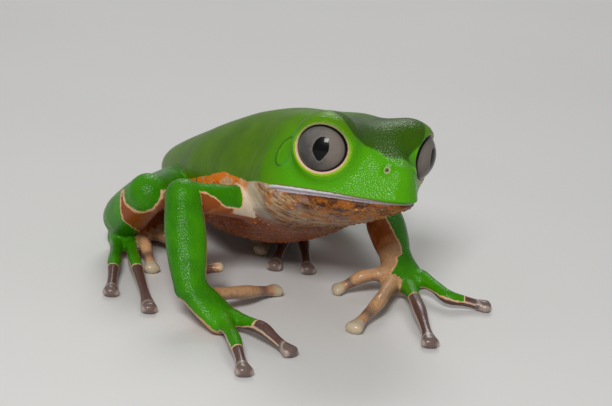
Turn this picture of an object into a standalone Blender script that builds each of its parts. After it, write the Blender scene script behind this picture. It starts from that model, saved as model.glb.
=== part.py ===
"""A walking leaf frog, life size, resting on a flat floor with its front raised on its arms.

Sizes are in millimetres until the meshes are made. The frog faces -Y, its right side is at -X,
and the floor is at z = 0. The origin is the middle of the frog's box, on the floor.
"""

import math

import bmesh
import bpy
from mathutils import Matrix, Vector

MM = 0.001
GAP = 0.3  # clearance between touching nodes
SNOUT_VENT = 52.8
ORIGIN = Vector((0.135, 10.49, 0.0))  # the box's middle on the floor, in the frog's first frame

# Where the tip of the upper lip is, and how the head, trunk and rump are turned: yaw to the
# frog's left, nose up, right side up.
LIP_TIP = Vector((5.5, -12.1, 15.5))
HEAD_TURN = Vector((7.4, 10.9, 7.6))
TRUNK_TURN = Vector((-1.0, 12.5, 3.5))
RUMP_TURN = Vector((-7.0, 19.0, 2.0))
NECK_BEND = (12.8, 26.0)
RUMP_BEND = (36.0, 50.0)

# Along the body: distance back from the snout, half width, height above and depth below the
# spine line. That line is the line of the mouth, run on to the vent.
BODY = (
    (0.0, 0.25, 3.2, 0.6),
    (0.3, 1.3, 3.75, 0.55),
    (1.0, 2.1, 4.2, 0.8),
    (2.2, 3.1, 4.8, 1.1),
    (4.2, 4.7, 5.9, 1.6),
    (7.5, 6.95, 7.65, 2.4),
    (11.0, 8.5, 8.5, 3.5),
    (14.8, 9.1, 8.7, 4.5),
    (19.0, 8.5, 8.7, 6.2),
    (24.0, 8.6, 8.2, 7.2),
    (30.0, 8.6, 6.95, 7.3),
    (37.0, 7.6, 5.2, 6.3),
    (43.0, 6.3, 3.8, 5.0),
    (48.0, 4.7, 3.0, 3.8),
    (51.3, 3.1, 2.4, 2.6),
    (SNOUT_VENT, 1.0, 1.0, 1.0),
)
HEAD_CUT = 15.8
HEAD_STATIONS = (0, 0.12, 0.3, 0.6, 1, 1.5, 2.2, 3, 4.2, 5.5, 7, 8.5, 10, 11.5, 13, 14, 15, HEAD_CUT)
TRUNK_STATIONS = (
    *(HEAD_CUT + GAP, 18, 20, 22, 25, 28, 31, 34, 37, 40, 43),
    *(45.5, 47.5, 49.2, 50.6, 51.7, 52.4, SNOUT_VENT),
)
SECTION_BLEND = (12.3, 21.0)  # from the head's section to the trunk's oval
LIP_HEIGHT, LOWER_LIP = 0.9, 0.4
CHIN_SETBACK = 1.3  # how far the chin starts behind the snout
BROW_SLOPE = 0.16  # how fast the snout's front leans back above BROW_START
BROW_START = 2.0
FRONT_END = 8.0  # how far back the setbacks reach
MOUTH_GROOVE = 0.3
MOUTH_CORNER = (13.5, 15.1)  # where the groove starts to fade and where it ends

# Half of a head section: share of the half width, then share of the way from the upper lip to
# the crown, or from the lower lip to the throat.
CROWN = ((0.0, 0.98), (0.2, 1.0), (0.38, 1.01), (0.54, 0.96), (0.67, 0.82), (0.78, 0.60))
CHEEK = ((0.87, 0.40), (0.94, 0.21))
THROAT = ((0.95, 0.28), (0.84, 0.55), (0.62, 0.82), (0.33, 0.96), (0.0, 1.0))

EYE_CENTRE = {"R": (7.75, 5.35, 5.25), "L": (7.6, 5.35, 4.8)}
EYE_RADIUS = 3.45
EYE_OPENING = 2.75
EYE_OUTWARD, EYE_UPWARD = {"R": 55.0, "L": 37.0}, {"R": -3.0, "L": -8.0}
# The lids' (radius, distance along the look), as shares of the eyeball's radius
LID_PROFILE = (
    *((0.1, -1.12), (0.7, -0.95), (1.08, -0.5), (1.17, -0.1)),
    *((1.15, 0.15), (1.1, 0.38), (1.03, 0.55)),
)
LID_BEAD = 0.42
NOSTRIL = (1.2, 3.3)
NOSTRIL_RIM, NOSTRIL_HOLE = 0.62, 0.3
EARDRUM = (12.3, 4.2)
EARDRUM_HALF = (1.2, 1.65)
EARDRUM_RIM = 0.26

# Joints and digit tips, in the frog's first frame. Digits run base, knuckle, pad.
SHOULDER = {"R": (19.3, 5.6, -2.2), "L": (19.3, -5.6, -2.2)}
ELBOW = {"R": (-12.9, 4.9, 12.2), "L": (15.0, 8.5, 7.5)}
WRIST = {"R": (-14.5, -1.5, 4.0), "L": (13.1, 1.0, 3.9)}
PALM = {"R": (-12.0, -5.2, 1.2), "L": (13.1, -1.3, 1.6)}
HAND_HALF = {"R": (2.4, 2.6), "L": (2.5, 2.9)}  # half widths at the hand's middle and palm
FINGERS = {
    "R": (
        ((-12.6, -2.0, 2.2), (-10.9, 4.5, 3.5), (-8.3, 3.7, 3.9)),
        ((-12.3, -1.6, 2.8), (-6.3, 0.7, 1.8), (-1.2, 3.2, 0.6)),
        ((-10.8, -5.6, 1.4), (-9.6, -9.8, 1.7), (-8.4, -13.9, 0.55)),
        ((-12.4, -6.2, 1.4), (-14.1, -11.8, 1.7), (-15.7, -17.4, 0.55)),
    ),
    "L": (
        ((11.2, -0.2, 2.6), (8.5, 0.6, 2.2), (6.0, 1.5, 0.6)),
        ((11.0, -1.9, 1.9), (6.7, -6.4, 1.8), (1.8, -9.8, 0.6)),
        ((12.7, -3.1, 1.8), (10.2, -9.5, 1.7), (7.8, -16.0, 0.55)),
        ((15.1, -1.9, 2.2), (16.1, -6.0, 1.4), (20.0, -8.0, 0.55)),
    ),
}
HIP = {"R": (42.5, 2.9, -1.9), "L": (42.5, -2.9, -1.9)}
KNEE = {"R": (-12.6, 14.1, 9.6), "L": (18.2, 15.5, 9.0)}
CALF = {"R": (-11.8, 21.3, 4.3), "L": (18.0, 24.0, 4.9)}
HEEL = {"R": (-5.3, 25.9, 1.8), "L": (14.6, 33.4, 1.4)}
SOLE = {"R": (-11.7, 21.4, 1.2), "L": (10.5, 21.5, 1.15)}
TOES = {
    "R": (
        ((-7.9, 22.9, 1.7), (-6.0, 22.0, 1.8), (-3.4, 22.2, 0.6)),
        ((-9.0, 22.0, 1.7), (-7.4, 19.7, 2.0), (-4.7, 19.2, 0.6)),
        ((-9.9, 21.2, 1.8), (-11.2, 16.8, 2.2), (-11.7, 13.7, 0.6)),
        ((-11.6, 20.2, 1.5), (-13.9, 13.7, 1.6), (-17.5, 2.0, 0.55)),
        ((-12.9, 20.7, 1.4), (-16.3, 14.2, 1.6), (-19.4, 8.0, 0.55)),
    ),
    "L": (
        ((9.7, 22.2, 1.5), (8.4, 22.2, 1.6), (6.4, 21.6, 0.6)),
        ((9.7, 21.6, 1.5), (7.4, 20.4, 1.6), (4.8, 19.0, 0.6)),
        ((9.9, 21.0, 1.4), (7.0, 18.6, 1.5), (3.6, 16.0, 0.55)),
        ((10.1, 20.4, 1.4), (6.6, 15.8, 1.6), (2.6, 10.6, 0.55)),
        ((10.7, 20.3, 1.4), (8.6, 14.6, 1.6), (5.9, 8.4, 0.55)),
    ),
}
DOME = [math.radians(a) for a in (25, 50, 72)]  # rings of a limb's rounded end
PAD_HALF = {"finger": (1.05, 0.7), "toe": (0.95, 0.65)}
FINGER_HALF = (0.95, 0.72, 0.62)
TOE_HALF = (0.9, 0.68, 0.58)

GREEN = (0.07, 0.30, 0.02, 1.0)
TAN = (0.50, 0.33, 0.20, 1.0)
EYE_GREY = (0.30, 0.28, 0.26, 1.0)


def clear_scene():
    for obj in list(bpy.data.objects):
        bpy.data.objects.remove(obj)


def material(name, colour, roughness):
    made = bpy.data.materials.new(name)
    made.use_nodes = True
    shader = made.node_tree.nodes["Principled BSDF"]
    shader.inputs["Base Color"].default_value = colour
    shader.inputs["Roughness"].default_value = roughness
    shader.inputs["Metallic"].default_value = 0.0
    return made


# Placing things along the body


def ease(x, start, end):
    """0 before start, 1 after end, smooth between."""
    k = min(1.0, max(0.0, (x - start) / (end - start)))
    return k * k * (3 - 2 * k)


def axes(turn):
    """The forward, right and up directions of a body turned by (yaw, pitch, roll) degrees."""
    yaw, pitch, roll = (math.radians(a) for a in turn)
    forward = Vector(
        (math.sin(yaw) * math.cos(pitch), -math.cos(yaw) * math.cos(pitch), math.sin(pitch))
    )
    level = Vector((-math.cos(yaw), -math.sin(yaw), 0.0))
    up = level.cross(forward)
    return (
        forward,
        level * math.cos(roll) + up * math.sin(roll),
        up * math.cos(roll) - level * math.sin(roll),
    )


def turn_at(s):
    turn = HEAD_TURN.lerp(TRUNK_TURN, ease(s, *NECK_BEND))
    return turn.lerp(RUMP_TURN, ease(s, *RUMP_BEND))


def spine_points(step=0.25):
    """Points down the spine line, a step apart."""
    points = [LIP_TIP.copy()]
    for i in range(int(SNOUT_VENT / step) + 1):
        points.append(points[-1] - axes(turn_at((i + 0.5) * step))[0] * step)
    return points, step


SPINE, SPINE_STEP = spine_points()


def on_body(s, t, h):
    """The point s back from the snout, t to the frog's right and h above the spine line."""
    i = min(len(SPINE) - 2, int(s / SPINE_STEP))
    base = SPINE[i].lerp(SPINE[i + 1], s / SPINE_STEP - i)
    _, right, up = axes(turn_at(s))
    return base + right * t + up * h


def smooth_value(table, s, column):
    """A column of the table at s, by a cubic that doesn't overshoot."""
    rows = [(row[0], row[column]) for row in table]
    i = max(k for k in range(len(rows) - 1) if rows[k][0] <= s or k == 0)
    slopes = []
    for k in (i, i + 1):
        if 0 < k < len(rows) - 1:
            before = (rows[k][1] - rows[k - 1][1]) / (rows[k][0] - rows[k - 1][0])
            after = (rows[k + 1][1] - rows[k][1]) / (rows[k + 1][0] - rows[k][0])
            product = before * after
            slopes.append(2 * product / (before + after) if product > 0 else 0.0)
        else:
            k0 = min(k, len(rows) - 2)
            slopes.append((rows[k0 + 1][1] - rows[k0][1]) / (rows[k0 + 1][0] - rows[k0][0]))
    (a, fa), (b, fb) = rows[i], rows[i + 1]
    x = (s - a) / (b - a)
    return (
        fa * (1 + 2 * x) * (1 - x) ** 2
        + fb * x * x * (3 - 2 * x)
        + (b - a) * (slopes[0] * x * (1 - x) ** 2 + slopes[1] * x * x * (x - 1))
    )


def half_section(s):
    """(t, h) points of half a body section, from the top round to the bottom."""
    w, above, below = (smooth_value(BODY, s, column) for column in (1, 2, 3))
    groove = MOUTH_GROOVE * (1 - ease(s, *MOUTH_CORNER)) * min(1.0, w / 3)
    lower = min(LOWER_LIP, 0.45 * below)
    head = [(w * x, LIP_HEIGHT + (above - LIP_HEIGHT) * y) for x, y in CROWN + CHEEK]
    head += [(w * 0.985, LIP_HEIGHT), (w, LIP_HEIGHT / 2), (w - groove, 0.0), (w * 0.985, -lower)]
    head += [(w * x, -lower - (below - lower) * y) for x, y in THROAT]
    trunk = []
    for i in range(len(head)):
        angle = math.pi * i / (len(head) - 1)
        height = above if angle < math.pi / 2 else below
        trunk.append((w * math.sin(angle) ** 0.9, height * math.cos(angle)))
    k = ease(s, *SECTION_BLEND)
    return [(a * (1 - k) + c * k, b * (1 - k) + d * k) for (a, b), (c, d) in zip(head, trunk)]


def setback(s, h):
    """How far a point of the snout's front stands behind its section."""
    fade = max(0.0, 1 - s / FRONT_END) ** 2
    if h < 0:
        return fade * min(CHIN_SETBACK, 0.1 - 0.75 * h)
    return fade * BROW_SLOPE * max(0.0, h - BROW_START) ** 2


def spline(points, parts, closed=False):
    """Points on a smooth curve through the given ones, with so many parts between each two."""
    n = len(points)
    made = []
    for i in range(n if closed else n - 1):
        if closed:
            p = [points[(i + k) % n] for k in (-1, 0, 1, 2)]
        else:
            p = [points[min(n - 1, max(0, i + k))] for k in (-1, 0, 1, 2)]
        for j in range(parts):
            x = j / parts
            made.append(
                0.5
                * (
                    2 * p[1]
                    + (p[2] - p[0]) * x
                    + (2 * p[0] - 5 * p[1] + 4 * p[2] - p[3]) * x * x
                    + (3 * p[1] - p[0] - 3 * p[2] + p[3]) * x**3
                )
            )
    if not closed:
        made.append(points[-1].copy())
    return made


def body_ring(s, parts, grow=0.0):
    half = half_section(s)
    loop = half + [(-t, h) for t, h in reversed(half[1:-1])]
    flat = spline([Vector((t, h, 0)) for t, h in loop], parts, closed=True)
    if grow:
        middle = Vector((0, (half[0][1] + half[-1][1]) / 2, 0))
        flat = [p + (p - middle).normalized() * grow for p in flat]
    return [on_body(s + setback(s, p.y), p.x, p.y) for p in flat]


# Closed meshes


def loft(rings):
    """A closed mesh through rings of as many points each, with flat ends."""
    mesh = bmesh.new()
    rows = [[mesh.verts.new(p) for p in ring] for ring in rings]
    for low, high in zip(rows, rows[1:]):
        for i in range(len(low)):
            j = (i + 1) % len(low)
            mesh.faces.new((low[i], low[j], high[j], high[i]))
    mesh.faces.new(reversed(rows[0]))
    mesh.faces.new(rows[-1])
    bmesh.ops.remove_doubles(mesh, verts=mesh.verts, dist=0.01)
    bmesh.ops.triangulate(mesh, faces=mesh.faces)
    bmesh.ops.recalc_face_normals(mesh, faces=mesh.faces)
    return mesh


def dome_ring(ring, angle, ahead):
    """A ring of a limb's rounded end, at so many radians of its quarter circle."""
    centre, along, w, h = ring
    return centre + along * ahead * w * math.sin(angle), along, w * math.cos(angle), h * math.cos(angle)


def limb(stations, sides=12, parts=4, up=Vector((0, 0, 1)), grow=0.0):
    """A closed tube through stations of (point, half width, half height), with rounded ends."""
    centres = spline([Vector(point) for point, _, _ in stations], parts)
    sizes = spline([Vector((w, h, 0)) for _, w, h in stations], parts)
    rings = []
    for i, (centre, size) in enumerate(zip(centres, sizes)):
        ahead = centres[min(i + 1, len(centres) - 1)] - centres[max(i - 1, 0)]
        rings.append((centre, ahead.normalized(), size.x + grow, size.y + grow))
    made = []
    for centre, along, w, h in [
        *(dome_ring(rings[0], a, -1) for a in reversed(DOME)),
        *rings,
        *(dome_ring(rings[-1], a, 1) for a in DOME),
    ]:
        side = along.cross(up).normalized()
        top = side.cross(along).normalized()
        made.append(
            [
                centre
                + side * w * math.cos(math.tau * k / sides)
                + top * h * math.sin(math.tau * k / sides)
                for k in range(sides)
            ]
        )
    return loft(made)


def ball(centre, radii, turn=None, segments=16, rings=10):
    mesh = bmesh.new()
    bmesh.ops.create_uvsphere(mesh, u_segments=segments, v_segments=rings, radius=1.0)
    place = Matrix.Translation(centre) @ (turn or Matrix.Identity(3)).to_4x4()
    bmesh.ops.transform(mesh, matrix=place @ Matrix.Diagonal((*radii, 1.0)), verts=mesh.verts)
    return mesh


def hoop(centre, turn, radii, thickness, around=24, sides=6):
    """A ring of round section, in the plane of turn's first two columns."""
    rings = []
    for i in range(around):
        a = math.tau * i / around
        out = turn @ Vector((math.cos(a), math.sin(a), 0))
        at = Vector(centre) + turn @ Vector((radii[0] * math.cos(a), radii[1] * math.sin(a), 0))
        rings.append(
            [
                at
                + out * thickness * math.cos(math.tau * k / sides)
                + turn.col[2] * thickness * math.sin(math.tau * k / sides)
                for k in range(sides)
            ]
        )
    mesh = bmesh.new()
    rows = [[mesh.verts.new(p) for p in ring] for ring in rings]
    for low, high in zip(rows, rows[1:] + rows[:1]):
        for i in range(sides):
            j = (i + 1) % sides
            mesh.faces.new((low[i], low[j], high[j], high[i]))
    bmesh.ops.recalc_face_normals(mesh, faces=mesh.faces)
    return mesh


def turned(centre, turn, profile, sides=24):
    """A solid of revolution about turn's third column, through (radius, distance) points."""
    rings = []
    for radius, z in profile:
        ring = []
        for k in range(sides):
            a = math.tau * k / sides
            ring.append(centre + turn @ Vector((radius * math.cos(a), radius * math.sin(a), z)))
        rings.append(ring)
    return loft(rings)


def new_object(name, mesh, look=None):
    data = bpy.data.meshes.new(name)
    bmesh.ops.triangulate(mesh, faces=mesh.faces)
    bmesh.ops.translate(mesh, verts=mesh.verts, vec=-ORIGIN)
    bmesh.ops.scale(mesh, vec=(MM, MM, MM), verts=mesh.verts)
    mesh.to_mesh(data)
    mesh.free()
    data.shade_smooth()
    obj = bpy.data.objects.new(name, data)
    bpy.context.scene.collection.objects.link(obj)
    if look:
        data.materials.append(look)
    return obj


def combine(obj, meshes, operation):
    """Joins meshes to the object, or cuts them from it, and keeps its largest closed surface."""
    if not meshes:
        return
    helpers = bpy.data.collections.new(obj.name + "_pieces")
    for mesh in meshes:
        piece = new_object(obj.name + "_piece", mesh)
        bpy.context.scene.collection.objects.unlink(piece)
        helpers.objects.link(piece)
    step = obj.modifiers.new(operation, "BOOLEAN")
    step.operation = operation
    step.operand_type = "COLLECTION"
    step.collection = helpers
    step.solver = "EXACT"
    step.use_self = False
    graph = bpy.context.evaluated_depsgraph_get()
    made = bpy.data.meshes.new_from_object(obj.evaluated_get(graph))
    obj.modifiers.clear()
    obj.data = made
    for piece in list(helpers.objects):
        bpy.data.objects.remove(piece)
    bpy.data.collections.remove(helpers)
    keep_largest(obj)


def keep_largest(obj):
    mesh = bmesh.new()
    mesh.from_mesh(obj.data)
    groups, left = [], set(mesh.verts)
    while left:
        group, edge = set(), [left.pop()]
        while edge:
            vert = edge.pop()
            group.add(vert)
            near = {e.other_vert(vert) for e in vert.link_edges} & left
            left -= near
            edge.extend(near)
        groups.append(group)
    groups.sort(key=lambda group: -size_of(group))
    for group in groups[1:]:
        bmesh.ops.delete(mesh, geom=list(group), context="VERTS")
    mesh.to_mesh(obj.data)
    mesh.free()


def size_of(group):
    return (
        max(v.co.x for v in group)
        - min(v.co.x for v in group)
        + max(v.co.y for v in group)
        - min(v.co.y for v in group)
        + max(v.co.z for v in group)
        - min(v.co.z for v in group)
    )


def rest_on_floor(mesh):
    """Flattens what reaches below the floor."""
    for vert in mesh.verts:
        vert.co.z = max(0.0, vert.co.z)
    return mesh


# The head and eyes


def eye_place(side):
    """The eyeball's centre, and a turn whose third column looks out of the opening."""
    s, t, h = EYE_CENTRE[side]
    hand = 1 if side == "R" else -1
    forward, right, up = axes(turn_at(s))
    out, lift = math.radians(EYE_OUTWARD[side]), math.radians(EYE_UPWARD[side])
    look = forward * math.cos(out) * math.cos(lift) + right * hand * math.sin(out) * math.cos(lift)
    look += up * math.sin(lift)
    across = look.cross(up).normalized()
    turn = Matrix((across, look.cross(across), look)).transposed()
    return on_body(s, hand * t, h), turn


def lid_solid(side):
    """The bulge of the lids round the eyeball, with a bead round the opening."""
    centre, turn = eye_place(side)
    depth = math.sqrt(EYE_RADIUS**2 - EYE_OPENING**2)
    profile = [(share * EYE_RADIUS, z * EYE_RADIUS) for share, z in LID_PROFILE]
    for a in (-30, 10, 50, 90):
        bead = math.radians(a)
        profile.append(
            (EYE_OPENING + LID_BEAD + LID_BEAD * math.cos(bead), depth + LID_BEAD * math.sin(bead))
        )
    return turned(centre, turn, profile)


def socket_solid(side):
    """The room for the eyeball, open to the outside."""
    centre, turn = eye_place(side)
    radius = EYE_RADIUS + GAP
    angles = [math.radians(a) for a in range(8, 134, 12)]
    profile = [(radius * math.sin(a), -radius * math.cos(a)) for a in angles]
    profile.append((profile[-1][0] * 1.04, radius + 1.0))
    return turned(centre, turn, profile)


def surface_at(s, h, hand):
    """The point on the head's side at height h, and its outward direction."""
    def point(s, h):
        half = half_section(s)
        for (t0, h0), (t1, h1) in zip(half, half[1:]):
            if h1 <= h <= h0 and h0 > h1:
                return on_body(s, hand * (t0 + (t1 - t0) * (h0 - h) / (h0 - h1)), h)
        return on_body(s, 0, h)

    here = point(s, h)
    back, up = point(s + 0.5, h) - here, point(s, h + 0.5) - here
    out = back.cross(up).normalized()
    away = here - on_body(s, 0, h)
    return here, out if out.dot(away) > 0 else -out, up.normalized()


def head():
    shape = loft([body_ring(s, 2) for s in HEAD_STATIONS])
    obj = new_object("head", shape, material("skin_green_head", GREEN, 0.4))
    added, holes = [], []
    for side, hand in (("R", 1), ("L", -1)):
        added.append(lid_solid(side))
        holes.append(socket_solid(side))
        drum_at, out, up = surface_at(EARDRUM[0], EARDRUM[1], hand)
        across = up.cross(out).normalized()
        flat = Matrix((across, out.cross(across), out)).transposed()
        added.append(hoop(drum_at, flat, EARDRUM_HALF, EARDRUM_RIM))
        nostril, out, _ = surface_at(NOSTRIL[0], NOSTRIL[1], hand)
        added.append(ball(nostril, (NOSTRIL_RIM,) * 3, segments=12, rings=8))
        hole = nostril + out * NOSTRIL_RIM
        holes.append(ball(hole, (NOSTRIL_HOLE,) * 3, segments=8, rings=6))
    combine(obj, added, "UNION")
    combine(obj, holes, "DIFFERENCE")


def eye(side):
    centre, turn = eye_place(side)
    mesh = ball(centre, (EYE_RADIUS,) * 3, turn, 24, 16)
    return new_object("eye_" + side, mesh, material("eye_" + side, EYE_GREY, 0.1))


# The trunk and limbs


def trunk(grow=0.0):
    return loft([body_ring(s, 1, grow) for s in TRUNK_STATIONS])


def skull(grow):
    """The head's back part, without its eyes, for what has to stay clear of it."""
    return loft([body_ring(s, 1, grow) for s in (6, 9, 12, 14, HEAD_CUT + grow)])


def arm_stations(side):
    shoulder = on_body(*SHOULDER[side])
    elbow, wrist = Vector(ELBOW[side]), Vector(WRIST[side])
    upper = (
        (shoulder, 1.9, 2.1),
        (shoulder.lerp(elbow, 0.5), 1.6, 1.75),
        (elbow, 1.7, 1.8),
    )
    lower = (
        (elbow, 1.9, 1.9),
        (elbow.lerp(wrist, 0.35), 2.35, 2.1),
        (elbow.lerp(wrist, 0.7), 2.2, 1.9),
        (wrist, 1.75, 1.45),
    )
    return upper, lower


def hand_stations(side):
    wrist, palm = Vector(WRIST[side]), Vector(PALM[side])
    middle_half, palm_half = HAND_HALF[side]
    return (
        (wrist.lerp(palm, 0.05), 1.85, 1.4),
        (wrist.lerp(palm, 0.55), middle_half, 1.4),
        (palm, palm_half, 1.25),
    )


def leg_stations(side):
    hip, knee = on_body(*HIP[side]), Vector(KNEE[side])
    calf, heel, sole = Vector(CALF[side]), Vector(HEEL[side]), Vector(SOLE[side])
    thigh = (
        (hip, 2.8, 2.5),
        (hip.lerp(knee, 0.45), 2.7, 2.4),
        (hip.lerp(knee, 0.8), 2.3, 2.1),
        (knee, 2.2, 2.1),
    )
    shank = (
        (knee, 2.3, 2.3),
        (calf, 2.6, 2.5),
        (calf.lerp(heel, 0.6), 1.7, 1.6),
        (heel, 1.6, 1.5),
    )
    tarsus = (
        (heel, 1.55, 1.45),
        (heel.lerp(sole, 0.35), 1.5, 1.35),
        (heel.lerp(sole, 0.7), 1.9, 1.5),
        (sole, 2.1, 1.3),
    )
    return thigh, shank, tarsus


def digit_stations(points, halves, pad):
    base, knuckle, tip = (Vector(p) for p in points)
    neck = knuckle.lerp(tip, 0.72)
    neck.z = max(neck.z, 0.75)
    return (
        (base, halves[0], halves[0]),
        (base.lerp(knuckle, 0.5) + Vector((0, 0, 0.1)), halves[1], halves[1]),
        (knuckle, halves[1] * 1.1, halves[1] * 1.1),
        (knuckle.lerp(neck, 0.55), halves[2], halves[2]),
        (neck, halves[2], halves[2] * 0.9),
        (tip, *pad),
    )


def boxes_meet(one, other):
    for axis in range(3):
        a = [v.co[axis] for v in one.verts]
        b = [v.co[axis] for v in other.verts]
        if max(a) < min(b) or max(b) < min(a):
            return False
    return True


def node(name, shape, look, made):
    """Makes the node from shape(0), cut clear of the shapes made before it."""
    mesh = rest_on_floor(shape(0.0))
    near = [cutter.copy() for cutter in made if boxes_meet(mesh, cutter)]
    obj = new_object(name, mesh, look)
    combine(obj, near, "DIFFERENCE")
    made.append(shape(GAP))


def build():
    clear_scene()
    head()
    eye("R")
    eye("L")
    green = material("skin_green", GREEN, 0.4)
    tan = material("skin_tan", TAN, 0.45)
    made = []
    node("trunk", trunk, green, made)
    made.append(skull(GAP))
    for side in ("R", "L"):
        upper, lower = arm_stations(side)
        hand = hand_stations(side)
        node("hand_" + side, lambda grow, at=hand: limb(at, grow=grow), green, made)
        ahead = Vector((0, -1, 0.3))
        node("forearm_" + side, lambda grow, at=lower: limb(at, up=ahead, grow=grow), green, made)
        node("upper_arm_" + side, lambda grow, at=upper: limb(at, grow=grow), green, made)
        for i, points in enumerate(FINGERS[side]):
            at = digit_stations(points, FINGER_HALF, PAD_HALF["finger"])
            node(f"finger_{side}_{i + 1}", lambda grow, at=at: limb(at, 8, 2, grow=grow), tan, made)
        thigh, shank, tarsus = leg_stations(side)
        node("foot_" + side, lambda grow, at=tarsus: limb(at, grow=grow), green, made)
        node("shank_" + side, lambda grow, at=shank: limb(at, 14, 3, grow=grow), green, made)
        node("thigh_" + side, lambda grow, at=thigh: limb(at, 14, 3, grow=grow), green, made)
        for i, points in enumerate(TOES[side]):
            at = digit_stations(points, TOE_HALF, PAD_HALF["toe"])
            node(f"toe_{side}_{i + 1}", lambda grow, at=at: limb(at, 8, 2, grow=grow), tan, made)


build()
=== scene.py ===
# Looks of the walking leaf frog: one skin over the CAD's flesh nodes, its eyes, and a plain floor.
# The skin is worked out as a distance field from the same sizes as the CAD, in millimetres,
# meshed on a grid, refined on the head, and coloured by fields stored on its vertices.

import math

import bmesh
import bpy
import numpy as np
from mathutils import Matrix, Vector


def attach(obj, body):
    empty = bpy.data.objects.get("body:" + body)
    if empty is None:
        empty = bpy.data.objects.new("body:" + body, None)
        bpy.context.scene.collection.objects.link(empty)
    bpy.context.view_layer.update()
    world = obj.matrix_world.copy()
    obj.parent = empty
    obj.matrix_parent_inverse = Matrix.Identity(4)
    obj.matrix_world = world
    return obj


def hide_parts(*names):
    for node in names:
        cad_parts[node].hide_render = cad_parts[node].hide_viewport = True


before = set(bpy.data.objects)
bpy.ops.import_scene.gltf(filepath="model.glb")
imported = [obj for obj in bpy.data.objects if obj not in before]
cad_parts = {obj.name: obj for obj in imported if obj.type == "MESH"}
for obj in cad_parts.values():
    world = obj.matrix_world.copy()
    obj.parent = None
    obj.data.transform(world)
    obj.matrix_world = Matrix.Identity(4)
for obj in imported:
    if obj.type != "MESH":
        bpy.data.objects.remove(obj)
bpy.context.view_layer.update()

mm = 0.001

# The frog's sizes and pose, as in part.py, in millimetres.

snoutVent = 52.8
origin = np.array((0.135, 10.49, 0.0))
lipTip = np.array((5.5, -12.1, 15.5))
headTurn = np.array((7.4, 10.9, 7.6))
trunkTurn = np.array((-1.0, 12.5, 3.5))
rumpTurn = np.array((-7.0, 19.0, 2.0))
neckBend = (12.8, 26.0)
rumpBend = (36.0, 50.0)
body = (
    (0.0, 0.25, 3.2, 0.6),
    (0.3, 1.3, 3.75, 0.55),
    (1.0, 2.1, 4.2, 0.8),
    (2.2, 3.1, 4.8, 1.1),
    (4.2, 4.7, 5.9, 1.6),
    (7.5, 6.95, 7.65, 2.4),
    (11.0, 8.5, 8.5, 3.5),
    (14.8, 9.1, 8.7, 4.5),
    (19.0, 8.5, 8.7, 6.2),
    (24.0, 8.6, 8.2, 7.2),
    (30.0, 8.6, 6.95, 7.3),
    (37.0, 7.6, 5.2, 6.3),
    (43.0, 6.3, 3.8, 5.0),
    (48.0, 4.7, 3.0, 3.8),
    (51.3, 3.1, 2.4, 2.6),
    (snoutVent, 1.0, 1.0, 1.0),
)
sectionBlend = (12.3, 21.0)  # from the head's section to the trunk's oval
lipHeight, lowerLip, chinSetback = 0.9, 0.4, 1.3
browSlope, browStart, frontEnd = 0.16, 2.0, 8.0
crown = ((0.0, 0.98), (0.2, 1.0), (0.38, 1.01), (0.54, 0.96), (0.67, 0.82), (0.78, 0.60))
cheek = ((0.87, 0.40), (0.94, 0.21))
throat = ((0.95, 0.28), (0.84, 0.55), (0.62, 0.82), (0.33, 0.96), (0.0, 1.0))
eyeCentre = {"R": (7.75, 5.35, 5.25), "L": (7.6, -5.35, 4.8)}
eyeRadius, eyeOpening = 3.45, 2.75
eyeOutward, eyeUpward = {"R": 55.0, "L": 37.0}, {"R": -3.0, "L": -8.0}
eyeOval = (1.055, 0.95)  # the opening is wider than it is tall
nostril = (1.2, 3.3)
mouthLine = ((0.0, -0.3), (2.5, -0.32), (5.8, -0.12), (10.0, 0.0))  # the mouth's height, by s
eardrum = (12.3, 4.2)

shoulder = {"R": (19.3, 5.6, -2.2), "L": (19.3, -5.6, -2.2)}
elbow = {"R": (-12.9, 4.9, 12.2), "L": (15.0, 8.5, 7.5)}
wrist = {"R": (-14.5, -1.5, 4.0), "L": (13.1, 1.0, 3.9)}
palm = {"R": (-12.0, -5.2, 1.2), "L": (13.1, -1.3, 1.6)}
handHalf = {"R": (2.4, 2.6), "L": (2.5, 2.9)}  # half widths at the hand's middle and palm
fingers = {
    "R": (
        ((-12.6, -2.0, 2.2), (-10.9, 4.5, 3.5), (-8.3, 3.7, 3.9)),
        ((-12.3, -1.6, 2.8), (-6.3, 0.7, 1.8), (-1.2, 3.2, 0.6)),
        ((-10.8, -5.6, 1.4), (-9.6, -9.8, 1.7), (-8.4, -13.9, 0.55)),
        ((-12.4, -6.2, 1.4), (-14.1, -11.8, 1.7), (-15.7, -17.4, 0.55)),
    ),
    "L": (
        ((11.2, -0.2, 2.6), (8.5, 0.6, 2.2), (6.0, 1.5, 0.6)),
        ((11.0, -1.9, 1.9), (6.7, -6.4, 1.8), (1.8, -9.8, 0.6)),
        ((12.7, -3.1, 1.8), (10.2, -9.5, 1.7), (7.8, -16.0, 0.55)),
        ((15.1, -1.9, 2.2), (16.1, -6.0, 1.4), (20.0, -8.0, 0.55)),
    ),
}
hip = {"R": (42.5, 2.9, -1.9), "L": (42.5, -2.9, -1.9)}
knee = {"R": (-12.6, 14.1, 9.6), "L": (18.2, 15.5, 9.0)}
calf = {"R": (-11.8, 21.3, 4.3), "L": (18.0, 24.0, 4.9)}
heel = {"R": (-5.3, 25.9, 1.8), "L": (14.6, 33.4, 1.4)}
sole = {"R": (-11.7, 21.4, 1.2), "L": (10.5, 21.5, 1.15)}
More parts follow.
